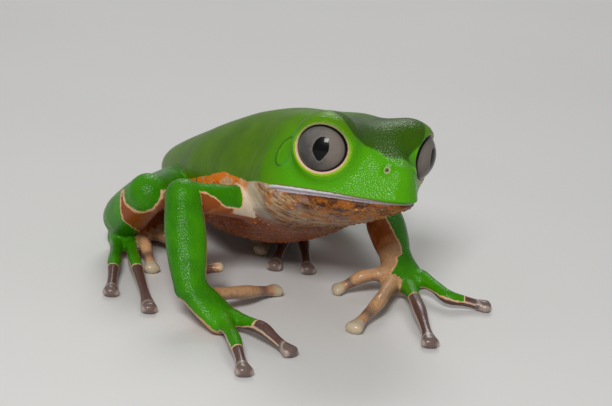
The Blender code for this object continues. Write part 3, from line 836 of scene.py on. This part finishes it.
def limbCoat(name, points, way, section, length):  # how far inside the green, in millimetres
    side = "R" if "R" in name else "L"
    u, v = section[:, 0] * (1 if side == "R" else -1), section[:, 1]
    if name in greenRange:
        start, end, scale = greenRange[name]
        angle = np.degrees(np.arctan2(-u, v))
        return np.minimum(angle - alongTable(start, way), alongTable(end, way) - angle) * scale
    if name.startswith("upperArm"):
        green = np.where(u < 0, v - alongTable(coat["armFront"], way), v + 0.3) * 1.8
        return np.minimum(green, (way - coat["armStart"]) * length)
    if name.startswith(("shank", "foot")):
        x, y = photoView(points - place(knee[side]), side)
        inEdge = alongTable(coat["legEdge"], y) - x
        if name.startswith("foot"):
            return np.minimum(inEdge, (v + 0.5) * 1.2)
        middle, low, radius = coat["kneeBall"]
        ball = radius - np.hypot(x - middle, np.minimum(y - low, 0))
        ball = np.where(ball < 0, ball * 0.6, ball)
        return np.maximum(np.maximum(ball, (y - 0.4) * 0.8), inEdge)
    end = coat["digitGreen"].get(name, -0.3)
    return np.minimum((end - way) * length, (v + 0.6 - 0.8 * ease(way, 0.05, 0.35)) * 0.7)


def paintSkin(points):
    _, (s, t, h, piece, way, section) = fleshField(points)
    n = len(points)
    onTrunk = piece < 0
    above = h - alongTable(mouthLine, s)
    green = above - alongTable(coat["flank"], s)
    creamDigit, brownDigit, digit = np.zeros(n), np.zeros(n), np.full(n, -9.0)
    disc, beside = np.full(n, 3.0), np.zeros(n)
    length, height = coat["patch"]
    shoulderPatch = np.where(onTrunk, bump(s, *length) * bump(h, *height), 0)
    for i, (name, tube, _, _, _) in enumerate(fleshPieces):
        mine = piece == i
        if not mine.any():
            continue
        length = np.sum(np.linalg.norm(np.diff(tube["centres"], axis=0), axis=1))
        green[mine] = limbCoat(name, points[mine], way[mine], section[mine], length)
        if name.startswith("upperArm"):
            fade, up = coat["patchOnArm"]
            shoulderPatch[mine] = (1 - ease(way[mine], *fade)) * ease(section[mine, 1], *up)
        if name.startswith(("hand", "foot")):
            creamDigit[mine], way[mine] = 1, 0.3
        if name.startswith("forearm"):
            creamDigit[mine], way[mine] = ease(way[mine], 0.7, 0.95), 0.3
        if name.startswith(("finger", "toe")):
            cream = int(name[-1]) <= (2 if name.startswith("finger") else 3)
            (creamDigit if cream else brownDigit)[mine] = 1
            digit[mine] = (way[mine] - coat["digitGreen"].get(name, 0.1)) * length
            if name == "fingerR1":
                way[mine] *= 0.9
            beside[mine] = np.arctan2(np.abs(section[mine, 0]), section[mine, 1]) * 2 / math.pi
            offTip = np.linalg.norm((points[mine] - tube["centres"][-1])[:, :2], axis=1)
            disc[mine] = offTip / tube["sizes"][-1, 0]
    lip = np.minimum(alongTable(coat["lipTop"], s) - above, above + alongTable(coat["lipUnder"], s))
    rim, around, hole = np.full(n, 9.0), np.zeros(n), np.full(n, 9.0)
    for side in ("R", "L"):
        _, _, _, d, outside, up = eyeCoordinates(side, points)
        rim, around = np.where(d < 0.9, outside, rim), np.where(d < 0.9, up, around)
        at, out = nostrilPlace(side)
        hole = np.minimum(hole, np.linalg.norm(points - at - out * nose["holeOut"], axis=1))
    mirrored = points - along(s, spineRight) * np.minimum(t, 0)[:, None] * 2
    x, y = photoView(mirrored - lipTip + origin)
    # painted shade: how far into the head's darker top, mirrored for the far side and deeper there
    crownShadeEdge = (y - alongTable(coat["crown"], x)) * 0.75 + 0.6 * ease(-t, 0.5, 2.0)
    rear, width, share = coat["fewer"]
    granule = ease(-green, *coat["granules"]) * (1 - ease(shoulderPatch, 0.15, 0.35))
    granule = granule * (1 - share * bump(s, rear, width))
    start, down = coat["flash"]
    return {
        "green": green,
        "lip": np.where(onTrunk & (s < coat["lipEnd"]), lip, -5),
        "throat": np.where(onTrunk, 1 - ease(s, *coat["throatEnd"]), 0),
        "creamDigit": creamDigit,
        "brownDigit": brownDigit,
        "limb": np.where(onTrunk, 0, 1),
        "digit": digit,
        "disc": disc,
        "beside": beside,
        "granule": np.where(onTrunk & (s > coat["granuleStart"]), granule, 0),
        "ear": np.where(onTrunk & (s < coat["earEnd"]), earDistance(s, h), 9.0),
        "eyeRim": rim,
        "eyeAround": around,
        "hole": hole,
        "crown": np.where(onTrunk, crownShadeEdge, -9.0),
        "patch": shoulderPatch,
        "flash": np.where(onTrunk, ease(s, *start) * (1 - ease(-h, *down)), 0),
        "bodyS": np.where(onTrunk, s, 60.0),
        "bodyH": np.where(onTrunk, h, 0.0),
        "way": way,
    }


# Shader maths as expressions


class Signal:  # a shader socket that takes part in arithmetic
    def __init__(self, paint, socket):
        self.paint, self.socket = paint, socket

    def __add__(self, other):
        return self.paint.math("ADD", self, other)

    def __sub__(self, other):
        return self.paint.math("SUBTRACT", self, other)

    def __rsub__(self, other):
        return self.paint.math("SUBTRACT", other, self)

    def __mul__(self, other):
        return self.paint.math("MULTIPLY", self, other)

    def __truediv__(self, other):
        return self.paint.math("DIVIDE", self, other)

    def __pow__(self, other):
        return self.paint.math("POWER", self, other)

    def __abs__(self):
        return self.paint.math("ABSOLUTE", self)

    def __neg__(self):
        return self.paint.math("MULTIPLY", self, -1.0)

    __radd__ = __add__
    __rmul__ = __mul__


def feed(tree, socket, value):  # links a socket, or sets a constant
    value = value.socket if isinstance(value, Signal) else value
    if isinstance(value, bpy.types.NodeSocket):
        tree.links.new(value, socket)
    else:
        socket.default_value = value


def addNode(tree, kind, settings=None, values=None):
    node = tree.nodes.new(kind)
    for name, value in (settings or {}).items():
        setattr(node, name, value)
    for name, value in (values or {}).items():
        feed(tree, node.inputs[name], value)
    return node


class Paint:  # a material and the making of its nodes
    def __init__(self, name):
        self.material = bpy.data.materials.new(name)
        self.material.use_nodes = True
        self.tree = self.material.node_tree
        self.shader = self.tree.nodes["Principled BSDF"]
        self.place = self.add("ShaderNodeTexCoord").outputs["Object"]

    def add(self, kind, settings=None, values=None):
        return addNode(self.tree, kind, settings, values)

    def math(self, operation, *numbers):
        values = dict(enumerate(numbers))
        return Signal(self, self.add("ShaderNodeMath", {"operation": operation}, values).outputs[0])

    def most(self, a, b):
        return self.math("MAXIMUM", a, b)

    def step(self, value, low, high):  # 0 below low, 1 above high, smooth between
        node = self.add(
            "ShaderNodeMapRange",
            {"interpolation_type": "SMOOTHSTEP"},
            {"Value": value, "From Min": low, "From Max": high},
        )
        return Signal(self, node.outputs["Result"])

    def band(self, value, centre, width):
        return 1 - self.step(abs(value - centre), 0.0, width)

    def attribute(self, name):
        return Signal(self, self.add("ShaderNodeAttribute", {"attribute_name": name}).outputs["Fac"])

    def noise(self, cell, detail=2.0, roughness=0.5, place=None):  # cell in mm
        place = place or self.place
        values = {"Vector": place, "Scale": 1 / (cell * mm), "Detail": detail, "Roughness": roughness}
        return Signal(self, self.add("ShaderNodeTexNoise", None, values).outputs["Fac"])

    def cells(self, cell, feature="F1"):
        values = {"Vector": self.place, "Scale": 1 / (cell * mm)}
        node = self.add("ShaderNodeTexVoronoi", {"feature": feature}, values)
        return Signal(self, node.outputs["Distance"])

    def vector(self, x, y, z):
        return self.add("ShaderNodeCombineXYZ", None, {"X": x, "Y": y, "Z": z}).outputs[0]

    def mix(self, share, a, b):
        return self.add("ShaderNodeMix", {"data_type": "RGBA"}, {0: share, 6: a, 7: b}).outputs[2]

    def finish(self, colour, roughness, height=None, strength=0.5, depth=0.1, **fixed):
        values = {"Base Color": colour, "Roughness": roughness}
        values |= {name.replace("_", " "): value for name, value in fixed.items()}
        if height is not None:
            bumpValues = {"Height": height, "Strength": strength, "Distance": depth * mm}
            values["Normal"] = self.add("ShaderNodeBump", None, bumpValues).outputs["Normal"]
        for name, value in values.items():
            feed(self.tree, self.shader.inputs[name], value)
        return self.material


def hue(red, green, blue):  # 0 to 255 as on a screen
    flat = [c / 255 for c in (red, green, blue)]
    return (*[c / 12.92 if c <= 0.04045 else ((c + 0.055) / 1.055) ** 2.4 for c in flat], 1.0)


colours = {
    "back": (88, 130, 2),
    "backShade": (70, 108, 1),
    # painted shade of the head's top plane, darker olive than its sides
    "crown": (48, 81, 0),
    "cheek": (78, 158, 4),
    "limb": (64, 142, 2),
    "limbShade": (44, 114, 2),
    "lip": (216, 216, 222),
    "lipShade": (176, 166, 176),
    "lipLine": (120, 76, 60),
    "throatGold": (186, 108, 26),
    # the throat's own dark colour, used also for painted shade: the shadow under the lip and the folds'
    # deepest troughs
    "throatDark": (78, 42, 18),
    "throatPale": (200, 170, 134),
    # the folds' troughs: painted shade
    "fold": (140, 96, 56),
    "lilac": (136, 114, 118),
    "granuleGold": (222, 152, 70),
    # the belly's colours: its own orange-brown, made darker as painted shade for the underside
    "belly": (128, 58, 18),
    "bellyPale": (170, 100, 44),
    "bellyDarkAndShade": (76, 34, 12),
    "flash": (232, 126, 22),
    "flashDark": (84, 70, 78),
    "cream": (208, 190, 166),
    "greySpeck": (96, 84, 92),
    "edge": (220, 196, 168),
    "edgeGold": (226, 160, 100),
    # partly the limbs' own orange-brown underside, partly painted shade: darkened for the undersides
    "limbUnder": (146, 74, 26),
    "digitCream": (192, 148, 106),
    "digitTip": (186, 170, 142),
    "digitBrown": (92, 66, 61),
    "disc": (108, 90, 84),
    "discRim": (184, 168, 156),
    "lidEdge": (222, 182, 156),
    "lidYellow": (150, 184, 20),
    # partly the nostril's own reddish colour, partly painted shade inside the hole
    "nostril": (84, 44, 40),
    "nostrilRim": (176, 180, 130),
    "earRim": (70, 150, 96),
    "speck": (34, 56, 14),
}
patterns = {  # sizes in millimetres
    "wide": 6,
    "medium": 1.6,
    "fine": 0.45,
    "grain": 0.22,
    "specks": 5.0,
    "folds": 0.8,
    "foldLength": 0.42,  # stretch along the throat's folds
    "lumps": 0.62,
    "lilac": 1.3,
    "flash": 1.9,
    "edge": 2.5,
}


def frogSkin():
    p = Paint("frogSkin")
    c, size = {name: hue(*colour) for name, colour in colours.items()}, patterns
    a = {name: p.attribute(name) for name in (*skinAttributes, "dome")}
    wide = p.noise(size["wide"], 3)
    medium, fine = (p.noise(size[name], 3, 0.6) for name in ("medium", "fine"))
    grain = p.cells(size["grain"])
    limb = a["limb"]
    ragged = p.step(a["bodyS"], 14.0, 17.5)
    wobble = ((medium - 0.5) * 1.5 + (fine - 0.5) * 0.9) * ragged
    # greens
    mottle = p.step(wide + (medium - 0.5) * 0.4, 0.25, 0.7)
    back = p.mix(mottle, c["backShade"], c["back"])
    rear = p.most(p.step(a["bodyS"] + (wide - 0.5) * 5, 9.5, 17.0), p.step(a["bodyH"], 5.4, 7.6) * 0.8)
    cheek = p.mix(rear, c["cheek"], back)
    # painted shade: the head's top is darker olive than its sides, edged along the canthus and fading
    # towards the back
    crown = p.step(a["crown"] + (medium - 0.5) * 0.3, -0.1, 0.16)
    crown = crown * (1 - p.step(a["bodyS"] + (medium - 0.5) * 3, 9.0, 16.0))
    body = p.mix(crown * 0.92, cheek, c["crown"])
    legs = p.mix(mottle, c["limbShade"], c["limb"])
    green = p.mix(limb, body, legs)
    speck = (1 - p.step(p.cells(size["specks"]), 0.03, 0.075)) * (1 - limb) * p.step(a["bodyS"], 11.0, 15.0)
    green = p.mix(speck * 0.75, green, c["speck"])
    # throat, belly, flank
    across, down = a["bodyH"] - a["bodyS"] * 0.7, a["bodyS"] + a["bodyH"] * 0.7
    place = p.vector(across * mm, down * (size["foldLength"] * mm), 0.0)
    folds = p.noise(size["folds"], 3, 0.65, place)
    front = 1 - p.step(a["bodyS"] + (medium - 0.5) * 6, 6.5, 11.5)
    gold = p.mix(p.step(medium + (fine - 0.5) * 0.6, 0.36, 0.62), c["throatDark"], c["throatGold"])
    gold = p.mix(a["dome"] * p.step(wide + (medium - 0.5) * 0.6, 0.35, 0.6) * 0.8, gold, c["granuleGold"])
    # the throat's pale cream is its own; the folds are only painted, their troughs darker as painted shade,
    # deepest in the dark throat colour
    rearThroat = p.mix(p.step(folds, 0.36, 0.58), c["fold"], c["throatPale"])
    rearThroat = p.mix((1 - p.step(folds, 0.28, 0.4)) * 0.7, rearThroat, c["throatDark"])
    rearThroat = p.mix(p.step(medium, 0.48, 0.62) * 0.75, rearThroat, c["throatGold"])
    throat = p.mix(front, rearThroat, gold)
    throat = p.mix(p.step(p.noise(size["lilac"]), 0.54, 0.66) * 0.6, throat, c["lilac"])
    # painted shadow: a dark band just under the white lip stripe, on the front of the throat
    lipShadow = p.step(a["lip"] + (medium - 0.5) * 0.6, -0.6, -0.15) * (1 - p.step(a["bodyS"], 10.0, 12.0))
    throat = p.mix(lipShadow * 0.65, throat, c["throatDark"])
    # painted shade: the throat darkens towards its underside, in the belly's dark colour
    throat = p.mix(p.step(-a["bodyH"] + (medium - 0.5) * 2, 2.8, 4.8) * 0.6, throat, c["bellyDarkAndShade"])
    # painted shade over the belly's own orange-brown: the belly and its dark patches are darkened for the
    # underside
    belly = p.mix(a["dome"] * 0.7, c["belly"], c["bellyPale"])
    belly = p.mix(p.step(medium, 0.5, 0.75) * 0.7, belly, c["bellyDarkAndShade"])
    under = p.mix(a["throat"], belly, throat)
    flash = p.mix(p.step(medium + (fine - 0.5) * 0.4, 0.6, 0.68) * 0.8, c["flash"], c["flashDark"])
    flash = p.mix(p.step(p.noise(size["flash"]), 0.5, 0.6) * 0.75, flash, c["throatPale"])
    under = p.mix(a["flash"], under, flash)
    patch = p.mix(p.step(fine, 0.62, 0.7) * 0.6, c["cream"], c["greySpeck"])
    patchLow = p.mix(0.45, c["greySpeck"], c["cream"])
    patch = p.mix(p.step(a["bodyH"] + (medium - 0.5), -3.0, -2.0), patchLow, patch)
    # the limbs' undersides: their own orange-brown, darkened as painted shade
    limbUnder = p.mix(p.step(medium, 0.45, 0.75) * 0.35, c["limbUnder"], c["edgeGold"])
    under = p.mix(limb, under, limbUnder)
    under = p.mix(p.step(a["patch"], 0.25, 0.6), under, patch)
    # digits
    wrinkle = p.step(fine, 0.45, 0.7)
    cream = p.mix(wrinkle * 0.3, c["digitCream"], c["digitBrown"])
    cream = p.mix(p.band(a["way"] + (fine - 0.5) * 0.1, 0.66, 0.16) * 0.75, cream, c["digitBrown"])
    low = p.step(a["beside"] + (fine - 0.5) * 0.4, 0.8, 1.4)
    cream = p.mix(low * 0.6, cream, c["digitBrown"])
    cream = p.mix(p.step(a["way"], 0.84, 0.9), cream, c["digitTip"])
    brown = p.mix(wrinkle * 0.5, c["digitBrown"], c["throatDark"])
    brown = p.mix(p.band(a["beside"] + (fine - 0.5) * 0.2, 0.9, 0.2) * 0.8, brown, c["edge"])
    disc = p.mix(p.band(a["disc"], 0.9, 0.2) * 0.7, c["disc"], c["discRim"])
    brown = p.mix(1 - p.step(a["disc"], 1.1, 1.35), brown, disc)
    under = p.mix(a["creamDigit"], under, cream)
    under = p.mix(a["brownDigit"], under, brown)
    # the green's edge, pale on the limbs
    reach = a["green"] + wobble * 0.35
    edge = p.mix(p.noise(size["edge"]), c["edge"], c["edgeGold"])
    under = p.mix((1 - p.step(-reach, 0.1, 0.24)) * limb, under, edge)
    colour = p.mix(p.step(reach, -0.04, 0.06), under, green)
    # lips
    lip = p.mix(p.step(a["bodyH"] + (fine - 0.5) * 0.3, 0.1, 0.5), c["lipShade"], c["lip"])
    lipLine = p.step(a["lip"], -0.2, -0.08) * p.step(a["green"], 0.25, 0.4)
    colour = p.mix(lipLine * 0.7, colour, c["lipLine"])
    colour = p.mix(p.step(a["lip"] + (fine - 0.5) * 0.12, -0.03, 0.05), colour, lip)
    # ear, lids, nostrils
    earLine, earBack = p.band(a["ear"], 1.0, 0.12), p.step(a["bodyS"] - eardrum[0], -0.9, 0.3)
    colour = p.mix(earLine * earBack * 0.75, colour, c["speck"])
    colour = p.mix(earLine * (1 - earBack) * 0.6, colour, c["earRim"])
    rim = a["eyeRim"] + (fine - 0.5) * 0.15
    upper = p.step(a["eyeAround"], -0.3, 0.6)
    colour = p.mix((1 - p.step(rim, 0.1, 0.4)) * (1 - upper) * 0.7, colour, c["lidYellow"])
    colour = p.mix((1 - p.step(rim, -0.12, -0.01)) * (1 - upper * 0.55), colour, c["lidEdge"])
    colour = p.mix((1 - p.step(a["hole"], 0.34, 0.6)) * 0.55, colour, c["nostrilRim"])
    # the nostril's hole painted dark: partly its own reddish colour, partly painted shade inside the hole
    colour = p.mix(1 - p.step(a["hole"], 0.26, 0.31), colour, c["nostril"])
    # relief and gloss
    waxy = p.most(1 - p.step(a["bodyS"], 5.0, 8.5), limb) * p.step(a["green"], 0.0, 0.3)
    rough = 0.36 + (medium - 0.5) * 0.14 - waxy * 0.11
    lumps = 1 - p.step(p.cells(size["lumps"]), 0.0, 0.5)
    underside = 1 - p.step(a["green"], -0.3, 0.0)
    height = fine * 0.35 + (1 - grain) * (0.45 + waxy * 0.35) + lumps * (1 - limb) * underside * 0.6
    return p.finish(
        colour,
        rough,
        height,
        strength=0.55,
        depth=0.12,
        Subsurface_Weight=0.1,
        Subsurface_Scale=0.5 * mm,
        IOR=1.27,
        Specular_IOR_Level=0.5,
        Coat_Weight=p.step(a["digit"], -0.5, 1.0) * 0.7,
        Coat_Roughness=0.16,
        Coat_IOR=1.35,
    )


def makeObject(name, mesh, material, attributes=None):
    bmesh.ops.scale(mesh, vec=(mm, mm, mm), verts=mesh.verts)
    data = bpy.data.meshes.new(name)
    mesh.to_mesh(data)
    mesh.free()
    data.shade_smooth()
    data.materials.append(material)
    for key, values in (attributes or {}).items():
        layer = data.attributes.new(key, "FLOAT", "POINT")
        layer.data.foreach_set("value", np.asarray(values, np.float32))
    made = bpy.data.objects.new(name, data)
    bpy.context.scene.collection.objects.link(made)
    return made


skinMesh, skinPoints = refinedSkin()
skinAttributes = paintSkin(skinPoints)
skin = makeObject("skin", skinMesh, frogSkin(), skinAttributes)
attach(skin, "root")
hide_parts(*[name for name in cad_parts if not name.startswith("eye")])
print("skin painted")

# Granules of the throat, belly and flanks: small domes scattered over the skin

granules = {"spacing": 0.5, "radius": 0.2, "flat": 0.55, "sides": 8, "rings": 4, "seed": 7}
granuleScale = (0.65, 1.15)  # least and most


def granuleTree(material):
    tree = bpy.data.node_groups.new("granules", "GeometryNodeTree")
    face = tree.interface
    face.new_socket("Geometry", in_out="INPUT", socket_type="NodeSocketGeometry")
    for name in ("Spacing", "Radius", "Flatness"):
        face.new_socket(name, in_out="INPUT", socket_type="NodeSocketFloat")
    face.new_socket("Seed", in_out="INPUT", socket_type="NodeSocketInt")
    face.new_socket("Geometry", in_out="OUTPUT", socket_type="NodeSocketGeometry")

    def add(kind, settings=None, values=None):
        return addNode(tree, kind, settings, values)

    given = add("NodeGroupInput").outputs
    share = add("GeometryNodeInputNamedAttribute", {"data_type": "FLOAT"}, {"Name": "granule"}).outputs[0]
    square = add("ShaderNodeMath", {"operation": "POWER"}, {0: given["Spacing"], 1: -2.0}).outputs[0]
    dots = add(
        "GeometryNodeDistributePointsOnFaces",
        {"distribute_method": "POISSON"},
        {
            "Mesh": given["Geometry"],
            "Distance Min": given["Spacing"],
            "Density Max": square,
            "Density Factor": share,
            "Seed": given["Seed"],
        },
    ).outputs
    dome = add(
        "GeometryNodeMeshUVSphere",
        None,
        {"Segments": granules["sides"], "Rings": granules["rings"], "Radius": given["Radius"]},
    ).outputs["Mesh"]
    low = add("ShaderNodeCombineXYZ", None, {"X": 1.0, "Y": 1.0, "Z": given["Flatness"]}).outputs[0]
    dome = add("GeometryNodeTransform", None, {"Geometry": dome, "Scale": low}).outputs[0]
    vary = add(
        "FunctionNodeRandomValue",
        {"data_type": "FLOAT"},
        {"Min": granuleScale[0], "Max": granuleScale[1], "Seed": given["Seed"]},
    )
    size = next(output for output in vary.outputs if output.enabled)
    placed = add(
        "GeometryNodeInstanceOnPoints",
        None,
        {"Points": dots["Points"], "Instance": dome, "Rotation": dots["Rotation"], "Scale": size},
    ).outputs[0]
    real = add("GeometryNodeRealizeInstances", None, {"Geometry": placed}).outputs[0]
    marked = add(
        "GeometryNodeStoreNamedAttribute",
        {"data_type": "FLOAT", "domain": "POINT"},
        {"Geometry": real, "Name": "dome", "Value": 1.0},
    ).outputs[0]
    done = add("GeometryNodeSetMaterial", None, {"Geometry": marked, "Material": material}).outputs[0]
    add("NodeGroupOutput", None, {0: done})
    return tree


def addGranules():
    carrier = bpy.data.objects.new("granuleCarrier", skin.data.copy())
    bpy.context.scene.collection.objects.link(carrier)
    step = carrier.modifiers.new("granules", "NODES")
    step.node_group = granuleTree(skin.data.materials[0])
    values = {
        "Spacing": granules["spacing"] * mm,
        "Radius": granules["radius"] * mm,
        "Flatness": granules["flat"],
        "Seed": granules["seed"],
    }
    for item in step.node_group.interface.items_tree:
        if item.in_out == "INPUT" and item.name in values:
            step[item.identifier] = values[item.name]
    graph = bpy.context.evaluated_depsgraph_get()
    data = bpy.data.meshes.new_from_object(carrier.evaluated_get(graph))
    bpy.data.objects.remove(carrier)
    data.shade_smooth()
    made = bpy.data.objects.new("granules", data)
    bpy.context.scene.collection.objects.link(made)
    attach(made, "root")
    print("granules:", len(data.polygons), "faces")


addGranules()

# Eyes: an iris with its pupil painted by the distance from the line of sight, under a clear coat

eyeLook = {
    "segments": 96,
    "rings": 64,
    "pupilHalf": (0.92, 1.34),
    "pupilPlace": (0.26, 0.03),
    "pupilLean": 0.12,
    "irisHalf": (2.64, 2.36),
    "grey": hue(116, 112, 107),
    "greyDark": hue(68, 66, 66),
    "tint": hue(126, 112, 100),
    "black": hue(8, 7, 7),
}


def eyeMaterial():
    p = Paint("eyeIris")
    e = eyeLook
    x, y, z = p.attribute("eyeX"), p.attribute("eyeY"), p.attribute("eyeZ")
    off = ((x / e["irisHalf"][0]) ** 2.0 + (y / e["irisHalf"][1]) ** 2.0) ** 0.5
    speckle = p.noise(0.09, 3, 0.7)
    net = p.cells(0.16, "DISTANCE_TO_EDGE")
    shade = p.step(p.noise(1.4, 2) * 0.4 + speckle * 0.9 + (x + y) * 0.07, 0.4, 0.85)
    iris = p.mix(shade, e["greyDark"], e["grey"])
    iris = p.mix(p.step(x * 0.35 + speckle, 0.1, 1.3) * 0.55, iris, e["tint"])
    iris = p.mix((1 - p.step(net, 0.0, 0.12)) * 0.35, iris, e["greyDark"])
    iris = p.mix(p.step(off, 0.82, 1.0) * 0.4, iris, e["greyDark"])
    halfWide, halfTall = e["pupilHalf"]
    tall = (y - e["pupilPlace"][1]) / halfTall
    wide = (x - e["pupilPlace"][0] - y * e["pupilLean"]) / halfWide * (1 + p.step(-tall, 0.1, 1.0) * 0.5)
    pupil = (wide * wide + tall * tall) ** 0.5
    lens = p.step(p.band(pupil, 1.08, 0.12), 0.2, 0.9)
    iris = p.mix(lens * 0.35, iris, e["grey"])
    colour = p.mix(1 - p.step(pupil, 0.95, 1.02), iris, e["black"])
    colour = p.mix(p.step(off + (speckle - 0.5) * 0.04, 0.98, 1.02), colour, e["black"])
    colour = p.mix(p.step(-z, 0.5, 1.5), colour, e["tint"])
    fixed = {"Coat_Weight": 1.0, "Coat_Roughness": 0.02, "Coat_IOR": 1.22, "Specular_IOR_Level": 0.05}
    return p.finish(colour, 0.32, speckle, strength=0.25, depth=0.03, **fixed)


def makeEye(side, material):
    centre, across, top, look = eyePlace(side)
    mesh = bmesh.new()
    bmesh.ops.create_uvsphere(
        mesh, u_segments=eyeLook["segments"], v_segments=eyeLook["rings"], radius=eyeRadius
    )
    own = coordinates(mesh)
    turn = Matrix((Vector(across), Vector(top), Vector(look))).transposed().to_4x4()
    bmesh.ops.transform(mesh, matrix=Matrix.Translation(Vector(centre)) @ turn, verts=mesh.verts)
    hand = 1 if side == "R" else -1
    values = {"eyeX": own[:, 0] * hand, "eyeY": own[:, 1], "eyeZ": own[:, 2]}
    eye = makeObject("eyeball" + side, mesh, material, values)
    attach(eye, "root")
    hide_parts("eye_" + side)


irisMaterial = eyeMaterial()
for side in ("R", "L"):
    makeEye(side, irisMaterial)
print("eyes made")

# Camera at the photograph's angle


def addCamera():
    right, up, back = viewAxes()
    camera = bpy.data.objects.new("camera", bpy.data.cameras.new("camera"))
    camera.data.lens = view["lens"]
    camera.data.clip_start = 0.01
    bpy.context.scene.collection.objects.link(camera)
    aim = Vector((0, 0, view["aimHeight"])) - Vector(origin)
    turn = Matrix((right, up, back)).transposed().to_4x4()
    camera.matrix_world = Matrix.Translation((aim + back * view["distance"]) * mm) @ turn
    bpy.context.scene.camera = camera


addCamera()

# Floor and soft studio light

studio = {
    "floorHalf": 3.0,
    "floorColour": (0.72, 0.71, 0.69, 1.0),
    "floorShade": (0.66, 0.655, 0.64, 1.0),
    "shadeSize": 40,
    "sky": 0.27,
    "lamps": (  # name, azimuth, elevation, distance, size, power
        ("key", -38, 38, 0.42, 0.1, 1.2),
        ("rim", 150, 40, 0.5, 0.2, 0.6),
    ),
}


def addFloor():
    p = Paint("paleFloor")
    tone = p.mix(p.noise(studio["shadeSize"], 4), studio["floorColour"], studio["floorShade"])
    mesh = bmesh.new()
    bmesh.ops.create_grid(mesh, x_segments=1, y_segments=1, size=studio["floorHalf"] / mm)
    ground = makeObject("floor", mesh, p.finish(tone, 0.6))


def addLamps():
    for name, azimuth, elevation, distance, size, power in studio["lamps"]:
        lamp = bpy.data.lights.new(name, "AREA")
        lamp.energy, lamp.size = power, size
        made = bpy.data.objects.new(name, lamp)
        out = outwards(math.radians(azimuth), math.radians(elevation))
        made.location = out * distance + Vector((0, 0, 0.01))
        made.rotation_euler = out.to_track_quat("Z", "Y").to_euler()
        bpy.context.scene.collection.objects.link(made)
    world = bpy.data.worlds.new("studio")
    world.use_nodes = True
    sky = world.node_tree.nodes["Background"]
    sky.inputs["Color"].default_value = (1, 1, 1, 1)
    sky.inputs["Strength"].default_value = studio["sky"]
    bpy.context.scene.world = world


addFloor()
addLamps()
bpy.context.scene.view_settings.view_transform = "Standard"
print("floor, lamps and camera placed")
